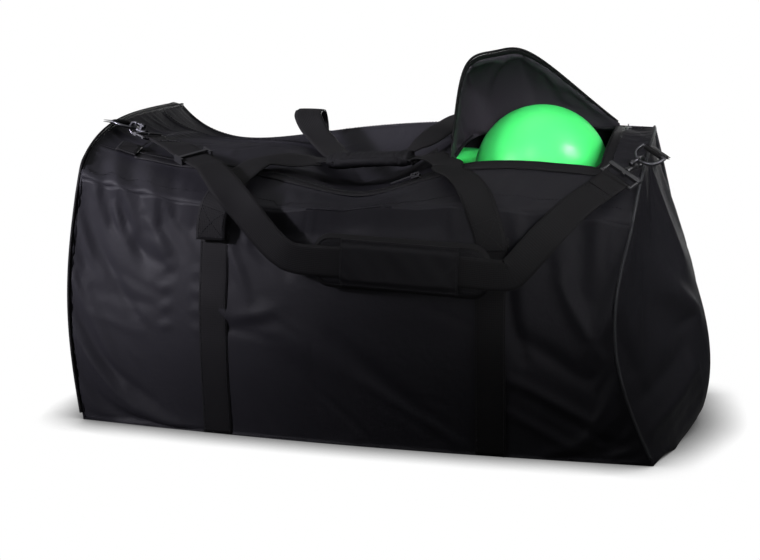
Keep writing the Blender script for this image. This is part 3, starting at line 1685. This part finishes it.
# ---- shoulder strap and pad ----
@dataclass
class Shoulder:
    """The long strap from ring to ring with its quilted pad."""

    finish: Finishes
    pad_at: Point = (72.0, -247.0, 245.0)
    tilt: float = 1.5
    width: float = 40.0
    pad: Point = (228.0, 66.0, 22.0)
    sleeve_half: Pair = (77.0, 30.5)

    def frame(self) -> tuple[Grid, Grid, Grid, Grid]:
        """Works out the pad's own frame.

        Returns:
            Its middle, and the directions along it, up it and away from the bag.
        """
        w = math.radians(self.tilt)
        return (np.array(self.pad_at), np.array([math.cos(w), 0, -math.sin(w)]),
                np.array([math.sin(w), 0, math.cos(w)]), np.array([0.0, -1.0, 0.0]))

    def to_bag(self, points: Grid) -> Grid:
        """Points of the pad's own frame in the bag's."""
        middle, along, up, out = self.frame()
        return middle + points[..., :1] * along + points[..., 1:2] * up + points[..., 2:3] * out

    def route(self) -> Grid:
        """Draws the strap's route from the left eye to the right one.

        Returns:
            Rows of a place and a direction across.
        """
        left_bar, left_pull = np.array([-318.0, -100, 376]), unit(np.array(LEFT_END.pull, float))
        right_bar, right_pull = np.array([328.0, -161, 355]), unit(np.array(RIGHT_END.pull, float))
        left_side, right_side = [0.4, 0.9, -0.14], [-0.8, 0.58, 0.5]
        run, start = unit(np.array([77.0, -59, -20])), np.array([-268.0, -146, 372])
        middle, along, up, _ = self.frame()
        rows = [
            [*(left_bar + left_pull * 3.4), *left_side], [*(left_bar + left_pull * 14), *left_side],
            [*start, 0.6, 0.77, 0.05],
            *[[*(start + run * 92 * t), 0.62, 0.76, 0.15] for t in (0.2, 0.5, 0.8)],
            [*(start + run * 92), 0.65, 0.75, 0.2], [-168, -224, 333, 0.85, 0.5, 0.4],
            [-138, -234, 306, 0.9, 0.1, 0.5], [-108, -241, 275, 0.75, 0, 0.65], [-84, -246, 256, 0.4, 0, 0.9],
            [*(middle - along * 134), *up], [*(middle - along * 70), *up], [*middle, *up],
            [*(middle + along * 70), *up], [*(middle + along * 134), *up],
            [222, -245, 251, -0.6, 0, 0.8], [238, -240, 270, -0.85, 0, 0.5], [262, -230, 298, -0.8, 0.2, 0.6],
            [290, -207, 327, -0.75, 0.4, 0.5], [*(right_bar + right_pull * 14), *right_side],
            [*(right_bar + right_pull * 3.4), *right_side],
        ]
        return spline(rows)

    def strap(self) -> None:
        """Makes the strap with a sewn loop round each eye's bar."""
        strip = Strip("shoulder_strap_web", self.route(), self.width, thick=2.2, wave=0.25)
        declare(strip.build(self.finish.webbing), STRAP, ("shoulder_strap",))
        sewing = Sewing("strap_stitches", STRAP)
        full = lengths(strip.route[:, :3])[-1]
        sewing.box(strip, 12.0, 34.0)
        sewing.box(strip, full - 34.0, full - 12.0)
        for end in (LEFT_END, RIGHT_END):
            turn = np.radians(np.linspace(14, 346, 30))
            ring = np.stack([EYE_REACH + 3.3 * np.cos(turn), 0 * turn, 3.3 * np.sin(turn)], -1)
            tail = np.array([[EYE_REACH + 30.0, 0, 3.0], [EYE_REACH + 16, 0, 2.9], [EYE_REACH + 6, 0, 2.6]])
            line = end.to_bag(np.concatenate([tail, ring]))
            across = np.tile(end.turn()[:, 1], (len(line), 1))
            route = np.concatenate([line, across], 1)
            name = f"{end.name}_strap_loop"
            loop = Strip(name, route, self.width - 0.6, thick=1.5, step=2.0, wave=0.0)
            declare(loop.build(self.finish.webbing), STRAP)
        sewing.close(self.finish.thread)

    @staticmethod
    def outline(half: float, high: float, corner: float, count: int = 120) -> Grid:
        """Spaces points round a rounded rectangle.

        Args:
            half: half its length.
            high: half its height.
            corner: its corners' radius.
            count: how many points.

        Returns:
            Points of the outline at z 0.
        """
        corner = max(corner, 1.0)
        rows = []
        for q, (sx, sy) in enumerate(((1, 1), (-1, 1), (-1, -1), (1, -1))):
            for k in range(13):
                w = math.radians(90 * q + 7.5 * k)
                x, y = sx * (half - corner), sy * (high - corner)
                rows.append((x + corner * math.cos(w), y + corner * math.sin(w), 0.0))
        loop = np.array([*rows, rows[0]])
        return even(loop, lengths(loop)[-1] / count)[:-1]

    def ring(self, inset: float, z: float) -> Grid:
        """Makes one ring of the pad.

        Args:
            inset: millimetres inside the pad's outline.
            z: height in the pad's own frame.

        Returns:
            Points of the ring.
        """
        half, high, corner = self.pad[0] / 2, self.pad[1] / 2, self.pad[2]
        points = self.outline(half - inset, high - inset, corner - inset)
        points[:, 2] = z
        return points

    def cushion(self) -> Piece:
        """Makes the foam-filled pad, puffed between its bound edge and the sleeve's seams.

        Returns:
            The piece.
        """
        profile = [(31, -13.3), (24, -13.4), (16, -13.2), (9, -12.9), (4.5, -12.2), (1.6, -11.0), (0.3, -9.6),
                   (0.0, -8.0), (0.2, -6.4), (1.2, -4.4), (3.4, -2.3), (6.5, -1.0), (10, -0.6), (16, -0.7),
                   (24, -0.9), (31, -1.0)]
        rings = np.array([self.ring(d, z) for d, z in profile])
        rings[..., 2] += 0.5 * np.sin(rings[..., 0] / 9.0 + rings[..., 1] / 14.0) * (rings[..., 2] > -7)
        rows, cols = rings.shape[:2]
        thread = rings[..., :2].reshape(-1, 2)
        faces = tube_faces(rows, cols)
        piece = add_mesh("pad_cloth", self.to_bag(rings).reshape(-1, 3), faces, self.finish.padding, thread)
        held = np.zeros((rows, cols), bool)
        held[6:9] = True
        Settle(slack=0.02, pressure=1.5, gravity=0.0, cap=1.2, frames=12).run(piece, held.ravel())
        declare(piece, PAD, ("shoulder_pad",))
        return piece

    def binding(self, cushion: Piece) -> None:
        """Makes the tape folded round the pad's edge, with its rows of stitches.

        Args:
            cushion: the finished pad.
        """
        shape = [(2.6, -11.4), (0.9, -11.6), (-1.2, -10.4), (-1.9, -8.2), (-1.4, -5.8), (0.6, -3.9),
                 (2.8, -2.2), (3.6, -1.5), (3.9, -2.2), (1.6, -4.4), (-0.2, -6.2), (-0.7, -8.2),
                 (-0.2, -10.0), (1.2, -10.8)]
        rings = np.array([self.ring(d, z) for d, z in shape])
        rows, cols = rings.shape[:2]
        thread = np.stack([rings[..., 0] + rings[..., 1], rings[..., 2]], -1).reshape(-1, 2)
        last = (rows - 1) * cols
        faces = grid_faces(rows, cols, closed=True)
        faces += [(last + i, last + (i + 1) % cols, (i + 1) % cols, i) for i in range(cols)]
        points = self.to_bag(rings).reshape(-1, 3)
        piece = add_mesh("pad_edge_tape", points, turned(faces), self.finish.webbing, thread)
        declare(piece, PAD, ("pad_binding",))
        sewing = Sewing("pad_stitches", PAD, pitch=3.6, long=2.4, radius=0.35)
        for inset in (4.6, 7.4):
            row = self.ring(inset, -1.0)
            sewing.on_cloth(self.to_bag(np.concatenate([row, row[:1]]) + np.array([0, 0, 6.0])), cushion)
        sewing.close(self.finish.thread)

    def sleeve(self) -> None:
        """Makes the cloth sewn over the strap in the pad's middle."""
        half_l, half_h = self.sleeve_half
        x = np.linspace(-half_l, half_l, 60)
        y = np.linspace(-half_h, half_h, 41)
        xx, yy = np.meshgrid(x, y)
        over = 1 / (1 + np.exp((np.abs(yy) - self.width / 2 - 2.6) / 0.9))
        sag = 0.35 * np.sin(xx / 13.0 + 2.0 * np.sin(yy / 17.0)) + 0.3 * np.sin(xx / 5.2 + yy / 6.0)
        zz = 0.1 + 3.6 * over + sag * over * np.clip((half_l - np.abs(xx)) / 8, 0, 1)
        points = self.to_bag(np.stack([xx, yy, zz], -1))
        thread = np.stack([xx, yy], -1).reshape(-1, 2)
        faces = grid_faces(len(y), len(x))
        piece = add_mesh("sleeve_cloth", points.reshape(-1, 3), faces, self.finish.padding, thread)
        edge = (np.abs(yy) > half_h - 2) | (np.abs(xx) > half_l - 1)
        Settle(slack=0.015, gravity=0.5, cap=0.6, frames=12).run(piece, edge.ravel())
        thicken(piece, 0.9, offset=1)
        declare(piece, PAD, ("pad_sleeve",))
        sewing = Sewing("sleeve_stitches", PAD, pitch=3.6, long=2.4, radius=0.35)
        t = np.linspace(0.01, 0.99, 60)
        along, up = half_l * (2 * t - 1), half_h * (2 * t - 1)
        level = np.full_like(t, 6.0)
        rows = [(along, side * half_h + 0 * t) for side in (-0.94, 0.94)]
        rows += [(side * half_l + 0 * t, up) for side in (-0.97, 0.97)]
        for x, y in rows:
            sewing.on_cloth(self.to_bag(np.stack([x, y, level], -1)), piece)
        sewing.close(self.finish.thread)


# ---- zips, piping, pocket and base ----
@dataclass
class Tape:
    """A thin strip of cloth laid on a surface."""

    name: str
    at: Callable
    a: Pair
    b: Pair
    counts: tuple[int, int]
    thick: float = 1.2
    flip: bool = False

    def build(self, finish: Material) -> Piece:
        """Makes the strip, thickened under its upper face.

        Args:
            finish: the cloth.

        Returns:
            The piece.
        """
        a, b = np.meshgrid(np.linspace(*self.a, self.counts[0]), np.linspace(*self.b, self.counts[1]))
        points = self.at(a, b)
        along = np.stack([lengths(row) for row in points])
        across = np.stack([lengths(row) for row in points.swapaxes(0, 1)], 1)
        faces = turned(grid_faces(*points.shape[:2]), self.flip)
        thread = np.stack([along, across], -1).reshape(-1, 2)
        piece = add_mesh(self.name, points.reshape(-1, 3), faces, finish, thread)
        thicken(piece, self.thick)
        return piece


@dataclass
class Coil:
    """A zip's coil: a cord with a tooth at each turn."""

    name: str
    line: Grid
    radius: float = 1.8
    pitch: float = 2.4
    depth: float = 0.42
    sides: int = 10

    def build(self, finish: Material) -> Piece:
        """Makes the coil.

        Args:
            finish: its material.

        Returns:
            The piece.
        """
        line = even(spline(self.line, 8), self.pitch / 6)
        piece = Round(self.name, line, 1.0, self.sides).build(finish)
        at = lengths(line)
        grow = self.radius - self.depth * (0.5 - 0.5 * np.cos(2 * np.pi * at / self.pitch)) ** 2
        points = coordinates(piece).reshape(len(line), self.sides, 3)
        points = line[:, None] + (points - line[:, None]) * grow[:, None, None]
        set_coordinates(piece, points.reshape(-1, 3))
        return piece


@dataclass
class Closures:
    """Every zip with its tapes, the sewn tab and the end pocket."""

    form: BagForm
    finish: Finishes
    tape: float = 1.6
    coil: float = 1.8
    tuck: float = 5.0
    tab_u: Pair = (0.045, 0.085)
    tab_half: float = 0.04
    pocket_u: Pair = (0.1, 0.9)
    pocket_v: Pair = (0.06, 0.62)
    pocket_zip: float = 16.0
    pocket_swell: float = 9.0
    pocket_wall: float = 3.0
    pocket_gap: float = 0.6
    pocket_lift: float = 0.8

    def lay(self, tape: Tape, nodes: Sequence[str], body: str = BAG) -> None:
        """Makes a zip tape that rides on a body and stands for its nodes."""
        declare(tape.build(self.finish.tape), body, nodes)

    def run(self, name: str, line: Grid, body: str = BAG) -> None:
        """Makes a zip's coil along a line."""
        declare(Coil(name, line, self.coil).build(self.finish.coil), body)

    def over(self, u: Grid, v: Grid, up: float | Grid) -> Grid:
        """Finds points over the deck.

        Args:
            u: 0 to 1 along the deck.
            v: 0 to 1 across it.
            up: millimetres straight up.

        Returns:
            Points that follow the cloth's folds.
        """
        points = self.form.deck_at(np.asarray(u, float), np.asarray(v, float))
        points[..., 2] += up
        return self.form.slump(points)

    def tucked(self, up: float, away: Grid) -> Grid:
        """Height of a tape that goes under the cloth where away, its distance from the sewn edge, is 0."""
        return up - (up + 1.0) * np.clip(1 - away / self.tuck, 0, 1) ** 2

    def closed(self) -> None:
        """Makes the closed run at the front of the lid: two tapes and the coil."""
        form, middle = self.form, self.form.zip_v
        u = (form.lid_left_u, form.mouth_left_u)
        tuck = self.tuck / form.base_w
        low, top = form.lid_front_v - tuck, form.lid_front_v + 2 * form.tape_v + tuck

        def at(a: Grid, b: Grid) -> Grid:
            """Points of both tapes, tucked under at their outer edges."""
            return self.over(a, b, self.tucked(1.2, np.minimum(b - low, top - b) * form.base_w))

        for name, b in (("closed_tape_front", (low, middle)), ("closed_tape_lid", (middle, top))):
            self.lay(Tape(name, at, u, b, (90, 8)), ("zip_closed_tape",))
        t = np.linspace(*u, 60)
        self.run("closed_coil", self.over(t, 0 * t + middle, self.coil / 2 + 0.5))

    def rim(self) -> None:
        """Makes the open run along the front and the right of the mouth."""
        form = self.form
        inner = form.mouth_right_u - form.tape_u
        end = form.mouth_right_u + (self.tuck - 0.6) / form.base_l
        low = form.lid_front_v - self.tuck / form.base_w
        rear = (form.zip_v - 0.01, form.lid_rear_v - 0.004)

        def at_front(a: Grid, b: Grid) -> Grid:
            """Points of the front tape, tucked under at its front edge."""
            return self.over(a, b, self.tucked(1.4, (b - low) * form.base_w))

        def at_right(a: Grid, b: Grid) -> Grid:
            """Points of the right tape, tucked under at its right edge."""
            return self.over(a, b, self.tucked(1.4, (end - a) * form.base_l))

        wide = (form.mouth_left_u, end)
        self.lay(Tape("rim_tape_front", at_front, wide, (low, form.zip_v), (50, 9)), ("rim_zip",))
        self.lay(Tape("rim_tape_right", at_right, (inner, end), rear, (9, 50)), ("rim_zip",))
        u = np.linspace(form.mouth_left_u, form.mouth_right_u - 1.6 * form.tape_u, 30)
        v = np.linspace(form.zip_v + 0.03, form.lid_rear_v - 0.02, 24)
        front = self.over(u, 0 * u + form.zip_v, 1.0)
        self.run("rim_coil", np.concatenate([front, self.over(0 * v + inner, v, 1.0)]))

    def hood(self) -> None:
        """Makes the tape and coil on the raised lid's free edge."""
        form = self.form
        top = 1 + form.tape_w / Hood.size[1]
        face = partial(form.hood_at, s=0.2)
        tape = Tape("hood_tape", face, Hood.ends, (0.985, top), (80, 4), thick=1.4, flip=True)
        self.lay(tape, ("flap_zip",), FLAP)
        a = np.linspace(0.06, 0.986, 68)
        start, _, end, tip = form.corners()
        rise = unit(tip - (start + end) / 2)
        self.run("hood_coil", form.hood_at(a, 0 * a + top + 0.006, self.tape / 2) + rise * self.coil, FLAP)

    def end_tab(self) -> None:
        """Makes the sewn tab over the closed zip's left end, with its box of stitches."""
        middle, high = self.form.zip_v, self.tab_half
        centre, half = sum(self.tab_u) / 2, (self.tab_u[1] - self.tab_u[0]) / 2

        def at(a: Grid, b: Grid) -> Grid:
            """Points of the tab, lower at its two ends."""
            return self.over(a, b, 6.0 - 1.6 * np.abs((a - centre) / half) ** 4)

        tab = Tape("zip_end_cloth", at, self.tab_u, (middle - high, middle + high), (14, 14), thick=2.2)
        piece = tab.build(self.finish.webbing)
        declare(piece, BAG, ("zip_end_tab",))
        sewing = Sewing("tab_stitches", BAG, pitch=3.0, long=2.0, radius=0.32)
        box = [(0.05, -0.033), (0.08, -0.033), (0.08, 0.033), (0.05, 0.033), (0.05, -0.033), (0.08, 0.033)]
        for (u0, v0), (u1, v1) in zip(box, box[1:]):
            t = np.linspace(0, 1, 14)
            line = self.over(u0 + (u1 - u0) * t, middle + v0 + (v1 - v0) * t, 12.0)
            sewing.on_cloth(line, piece)
        sewing.close(self.finish.thread)

    def pocket(self, end: Piece) -> None:
        """Makes the pocket sewn on the left end, with its zip.

        Args:
            end: the left end's panel.
        """
        form = self.form
        (left, right), (low, top) = self.pocket_u, self.pocket_v
        high = top + self.pocket_zip / form.front_left_h
        window = (0.12, 0.08, 0.88, 0.60)
        small = Ripples(41, 16, (30, 80), (5, 9), height=1.8, slope=70, spread=50, window=window)
        size = (form.base_w, WALL_H)
        folds = [*as_folds(POCKET_FOLDS), *small.folds(size)]

        def at(u: Grid, v: Grid, s: float, folds: Sequence[Fold] = ()) -> Grid:
            """Finds points of the pocket, never behind the cloth it is sewn on.

            Args:
                u: 0 to 1 along the end.
                v: 0 to 1 up the end.
                s: millimetres inside the pocket's face.
                folds: folds of its cloth.

            Returns:
                Points of the pocket.
            """
            points = form.wall_at(Side.LEFT, u, v)
            rise = np.sin(np.pi / 2 * np.minimum(1, (v - low) * 4))
            puff = self.pocket_swell * np.sin(np.pi * (u - left) / (right - left)) * rise
            lift = sum((f.lift(u, v, size) for f in folds), np.zeros_like(u))
            rim = np.minimum.reduce([(u - left) * 10, (right - u) * 10, (v - low) * 8, np.ones_like(u)])
            off = self.pocket_gap + self.pocket_wall
            points[..., 0] -= off + np.maximum(puff, 0) + lift * np.clip(rim, 0, 1) - s
            for k in np.ndindex(u.shape):
                _, y, z = points[k] * MM
                hit, where, _, _ = end.ray_cast(Vector((-0.6, y, max(z, 0.001))), Vector((1, 0, 0)))
                if hit:
                    most = where[0] / MM - self.pocket_lift - (self.pocket_wall - s)
                    points[k][0] = min(points[k][0], most)
            return points

        face = partial(at, s=0.0, folds=folds)
        cloth = Tape("pocket_cloth", face, self.pocket_u, self.pocket_v, (64, 40), thick=2.2, flip=True)
        piece = cloth.build(self.finish.cloth)
        declare(piece, BAG, ("pocket_panel",))
        tape = Tape("pocket_tape", partial(at, s=1.4), self.pocket_u, (top + 0.001, high), (50, 5), flip=True)
        self.lay(tape, ("pocket_zip",))
        u = np.linspace(left, right, 40)
        line = at(u, 0 * u + (top + high) / 2, 1.4)
        line[:, 0] -= 1.4
        self.run("pocket_coil", line)
        sewing = Sewing("pocket_stitches", BAG)
        edges = [((u, low), (u, top)) for u in (left + 0.015, right - 0.015)]
        for a, b in (*edges, ((left, top - 0.02), (right, top - 0.02))):
            t = np.linspace(0.02, 0.98, 50)
            line = at(a[0] + (b[0] - a[0]) * t, a[1] + (b[1] - a[1]) * t, 0.0)
            sewing.on_cloth(line - np.array([8.0, 0, 0]), piece)
        sewing.close(self.finish.thread)


def piping(form: BagForm, side: Side, radius: float, finish: Material) -> None:
    """Makes the piping of one end: up its front corner, over the top and down the rear corner.

    Args:
        form: the bag's form.
        side: the end.
        radius: half the piping's thickness.
        finish: its material.
    """
    t = np.linspace(0, 1, 60)
    rows = np.concatenate([
        form.rise(side.way, -1, 0.03 + 0.95 * t, -1.0), form.top_edge(side, 0.03 + 0.94 * t, -1.0),
        form.rise(side.way, 1, 0.98 - 0.95 * t, -1.0),
    ])
    line = even(spline(rows[::3], 4), 4.0)
    line[:, 2] = np.maximum(line[:, 2], 2.3)
    cord = Round(f"piping_{side.value}_cord", form.slump(line), radius, 12)
    declare(cord.build(finish), BAG, (f"piping_{side.value}",))


def seams(form: BagForm, deck: dict[str, Piece], finish: Finishes) -> None:
    """Sews rows of stitches along the deck's seams and beside the zips.

    Args:
        form: the bag's form.
        deck: the deck's panels by node.
        finish: the set of finishes.
    """
    sewing = Sewing("seam_stitches", BAG, pitch=4.6, long=3.1, radius=0.36)
    t = np.linspace(0.02, 0.98, 200)
    low, high = form.lid_front_v, form.lid_rear_v
    lid = form.lid_left_u + (form.mouth_left_u - form.lid_left_u) * t
    rows = [
        ("deck_front", t, 0.014), ("deck_front", t, low - 0.012), ("deck_rear", t, 0.98),
        ("deck_rear", t, high + 0.014), ("lid_panel", lid, low + 2 * form.tape_v + 0.012),
        ("deck_right", form.mouth_right_u + 0.008, low + (high - low) * t[::2]),
    ]
    for node, u, v in rows:
        u, v = np.broadcast_arrays(u, v)
        sewing.on_cloth(form.deck_at(u, v) + np.array([0, 0, 20]), deck[node])
    sewing.close(finish.thread)


def ground(form: BagForm, finish: Finishes) -> None:
    """Makes the flat base cloth.

    Args:
        form: the bag's form.
        finish: the set of finishes.
    """

    def at(u: Grid, v: Grid) -> Grid:
        """Finds points of the base between its front and rear edges.

        Args:
            u: 0 to 1 along +X.
            v: 0 to 1 along +Y.

        Returns:
            Points on the ground.
        """
        front, rear = form.base_edge(Side.FRONT, u, 3.6), form.base_edge(Side.REAR, u, 3.6)
        points = front + (rear - front) * v[..., None]
        points[..., 2] = 0.0
        return points

    whole = (0.0, 1.0)
    cloth = Tape("base_cloth", at, whole, whole, (80, 40), thick=2.8, flip=True)
    declare(cloth.build(finish.cloth), BAG, ("base_panel",))


@dataclass(frozen=True)
class RingTab:
    """The webbing loop that holds a ring at one end of the strap, with its doubled tail."""

    end: End
    ring_half: float = 18.0
    ring_leg: float = 6.0
    wire: float = 2.0
    gap: float = 0.08
    width: float = 28.0
    thick: float = 1.0

    def sew(self, finish: Material) -> None:
        """Makes the loop.

        Args:
            finish: the webbing.
        """
        end, bar = self.end, -(self.ring_half + self.ring_leg)
        radius, drop = self.wire + self.gap + self.thick / 2, math.radians(end.drop)
        turn = np.radians(np.linspace(100, -100, 24))
        ring = np.stack([radius * np.cos(turn), 0 * turn, radius * np.sin(turn)], -1)
        upper = np.array([[-22.0, 0, -0.5], [-12, 0, -0.3], [-5, 0, 1.0]])
        lower = np.array([[-5.0, 0, -2.3], [-12, 0, -1.8], [-22, 0, -1.7]])
        path = np.concatenate([upper, ring, lower])
        x, z = path[:, 0].copy(), path[:, 2].copy()
        path[:, 0] = bar + x * math.cos(drop) - z * math.sin(drop)
        path[:, 2] = x * math.sin(drop) + z * math.cos(drop)
        line = end.to_bag(path)
        across = np.tile(end.turn()[:, 1], (len(line), 1))
        route = np.concatenate([line, across], 1)
        strip = Strip(f"ring_tab_{end.name}_web", route, self.width, self.thick, step=1.5, wave=0.0)
        declare(strip.build(finish), BAG, (f"ring_tab_{end.name}",))


# ---- studio ----
@dataclass(frozen=True)
class Lamp:
    """A soft square lamp aimed at the bag, or a spot when it has a cone."""

    name: str
    place: Point
    size: float
    watts: float
    colour: Point = (1.0, 1.0, 1.0)
    aim: Point = (0.0, 0.0, 0.2)
    cone: float = 0.0

    def light(self) -> None:
        """Hangs the lamp."""
        data = bpy.data.lights.new(self.name, "SPOT" if self.cone else "AREA")
        if self.cone:
            data.shadow_soft_size = self.size
            data.spot_size = math.radians(self.cone)
            data.spot_blend = 1.0
        else:
            data.size = self.size
        data.energy = self.watts
        data.color = self.colour
        lamp = bpy.data.objects.new(self.name, data)
        lamp.location = self.place
        lamp.rotation_euler = (Vector(self.aim) - Vector(self.place)).to_track_quat("-Z", "Y").to_euler()
        bpy.context.collection.objects.link(lamp)


@dataclass(frozen=True)
class Flag:
    """A black board beside the set that keeps white out of the cloth's reflections."""

    name: str
    start: Pair
    end: Pair
    top: float = 2600.0

    def stand(self, finish: Material) -> None:
        """Puts the board up, unseen by the camera.

        Args:
            finish: the black paint.
        """
        (x0, y0), (x1, y1) = self.start, self.end
        corners = np.array([[x0, y0, 2], [x1, y1, 2], [x1, y1, self.top], [x0, y0, self.top]], float)
        board = add_mesh(self.name, corners, [(0, 1, 2, 3)], finish)
        board.visible_camera = False
        board.visible_shadow = False
        board.visible_diffuse = False


@dataclass(frozen=True)
class Studio:
    """Camera, pale floor, surroundings, boards and lamps."""

    camera_at: Point = (0.750, -2.563, 0.701)
    camera_turn: Point = (78.92, 0.0, 16.885)
    lens: float = 93.03
    shadow_reach: float = 0.065
    floor_half: float = 9000.0
    air: float = 0.11
    lamps: tuple[Lamp, ...] = (
        Lamp("key_lamp", (-2.0, -2.1, 1.35), 1.2, 10.0),
        Lamp("corner_lamp", (-2.1, -1.9, 1.3), 0.3, 2450.0, (0.92, 0.89, 1.0), (-0.54, -0.2, 0.39), 12.0),
        Lamp("rear_lamp", (0.2, 2.7, 0.42), 0.8, 60.0),
        Lamp("top_lamp", (-0.6, 0.0, 2.6), 1.8, 5.0),
        Lamp("side_lamp", (2.2, -0.45, 1.4), 0.35, 8.0),
        Lamp("end_lamp", (1.0, -0.35, 2.1), 0.12, 120.0, aim=(0.46, -0.02, 0.18), cone=12.0),
        Lamp("ball_lamp", (2.0, -0.62, 1.9), 0.32, 820.0, aim=(0.2, 0.0, 0.37), cone=8.0),
        Lamp("mouth_lamp", (-0.22, -1.9, 1.9), 0.25, 90.0, aim=(0.22, 0.0, 0.44), cone=12.0),
        Lamp("lining_lamp", (0.95, -2.4, 0.80), 0.25, 620.0, aim=(0.20, 0.03, 0.43), cone=10.0),
    )
    flags: tuple[Flag, ...] = (
        Flag("flag_right", (2400, 1600), (2400, -3300)),
        Flag("flag_front", (2400, -3300), (-500, -3600)),
        Flag("flag_end", (480, 430), (2400, 1000)),
        Flag("flag_back", (-2400, 1500), (900, 1500)),
    )

    def camera(self) -> None:
        """Sets the scene's camera."""
        data = bpy.data.cameras.new("camera")
        data.lens = self.lens
        data.sensor_width = 36.0
        camera = bpy.data.objects.new("camera", data)
        camera.location = self.camera_at
        camera.rotation_euler = [math.radians(a) for a in self.camera_turn]
        bpy.context.collection.objects.link(camera)
        bpy.context.scene.camera = camera

    def floor(self) -> None:
        """A plain pale floor that shows white, but for the soft shadow at the bag's foot."""
        graph = Graph("floor_paint")
        path = graph.node("ShaderNodeLightPath", output="Is Camera Ray")
        paint = graph.node("ShaderNodeBsdfDiffuse", inputs={"Color": (0.20, 0.20, 0.20, 1)})
        dark = graph.node("ShaderNodeBsdfDiffuse", inputs={"Color": (0.02, 0.02, 0.02, 1)})
        glow = graph.node("ShaderNodeEmission", inputs={"Color": (1, 1, 1, 1), "Strength": 1.0})
        open_air = graph.node(
            "ShaderNodeAmbientOcclusion", {"samples": 16}, {"Distance": self.shadow_reach}, output="AO"
        )
        shown = graph.node("ShaderNodeMixShader", inputs={0: open_air * open_air, 1: dark, 2: glow})
        both = graph.node("ShaderNodeMixShader", inputs={0: path, 1: paint, 2: shown})
        graph.surface(both)
        corners = np.array([[-1, -1, 0], [1, -1, 0], [1, 1, 0], [-1, 1, 0]]) * self.floor_half
        add_mesh("floor", corners, [(0, 1, 2, 3)], graph.owner)

    def world(self) -> None:
        """White surroundings for the camera and for reflections, dimmer for the rest."""
        graph = Graph("studio_air", world=True)
        rays = ("Camera", "Glossy", "Transmission")
        seen, shiny, clear = (graph.node("ShaderNodeLightPath", output=f"Is {ray} Ray") for ray in rays)
        white = graph.node("ShaderNodeBackground", inputs={"Color": (1, 1, 1, 1)})
        dim = graph.node("ShaderNodeBackground", inputs={"Strength": self.air})
        share = (seen + shiny + clear).clamped()
        both = graph.node("ShaderNodeMixShader", inputs={0: share, 1: dim, 2: white})
        graph.node("ShaderNodeOutputWorld", inputs={"Surface": both})
        bpy.context.scene.world = graph.owner

    def build(self) -> None:
        """Makes everything round the bag."""
        self.camera()
        self.floor()
        self.world()
        for lamp in self.lamps:
            lamp.light()
        graph = Graph("flag_black")
        graph.surface(graph.node("ShaderNodeBsdfDiffuse", inputs={"Color": (0.01, 0.01, 0.01, 1)}))
        for flag in self.flags:
            flag.stand(graph.owner)
        bpy.context.scene.view_settings.view_transform = "Standard"


def dress(frame: dict, finish: Finishes) -> None:
    """Gives every node of the frame its finish.

    Args:
        frame: the loaded frame.
        finish: the set of finishes.
    """
    by_slot = {
        Slot.METAL: finish.steel, Slot.DARK_METAL: finish.dark_metal, Slot.FOAM: finish.foam,
        Slot.BOARD: finish.board, Slot.CLOTH: finish.cloth, Slot.WEBBING: finish.webbing,
        Slot.TAPE: finish.tape, Slot.PADDING: finish.padding, Slot.REFLECTIVE: finish.reflective,
    }
    for row in frame["record"]["subparts"]:
        node = frame["nodes"][row["node"]]
        node.data.materials.clear()
        node.data.materials.append(by_slot[Slot(row["material_slot"])])
    for name in ("swivel_eye_left", "swivel_eye_right", "snap_hook_right"):
        frame["nodes"][name].data.materials[0] = finish.dark_metal


def main() -> None:
    """Builds the bag's looks round the frame."""
    logging.basicConfig(level=logging.INFO, format="%(message)s")
    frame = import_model()
    form = BagForm()
    finish = Finishes.make()
    Studio().build()
    dress(frame, finish)
    shell = Shell(form, finish)
    walls = shell.walls()
    deck = shell.deck()
    Hood(form, finish).cloth()
    sewing = Sewing("band_stitches", BAG)
    carrying = Carrying(form, finish)
    carrying.bands(walls, sewing)
    carrying.handles(sewing)
    sewing.close(finish.thread)
    carrying.wrap()
    shoulder = Shoulder(finish)
    shoulder.strap()
    cushion = shoulder.cushion()
    shoulder.binding(cushion)
    shoulder.sleeve()
    for end in (LEFT_END, RIGHT_END):
        RingTab(end).sew(finish.webbing)
    closures = Closures(form, finish)
    closures.closed()
    closures.rim()
    closures.hood()
    closures.end_tab()
    closures.pocket(walls[Side.LEFT])
    piping(form, Side.LEFT, 2.3, finish.webbing)
    piping(form, Side.RIGHT, 1.9, finish.reflective)
    seams(form, deck, finish)
    ground(form, finish)


if __name__ == "__main__":
    main()
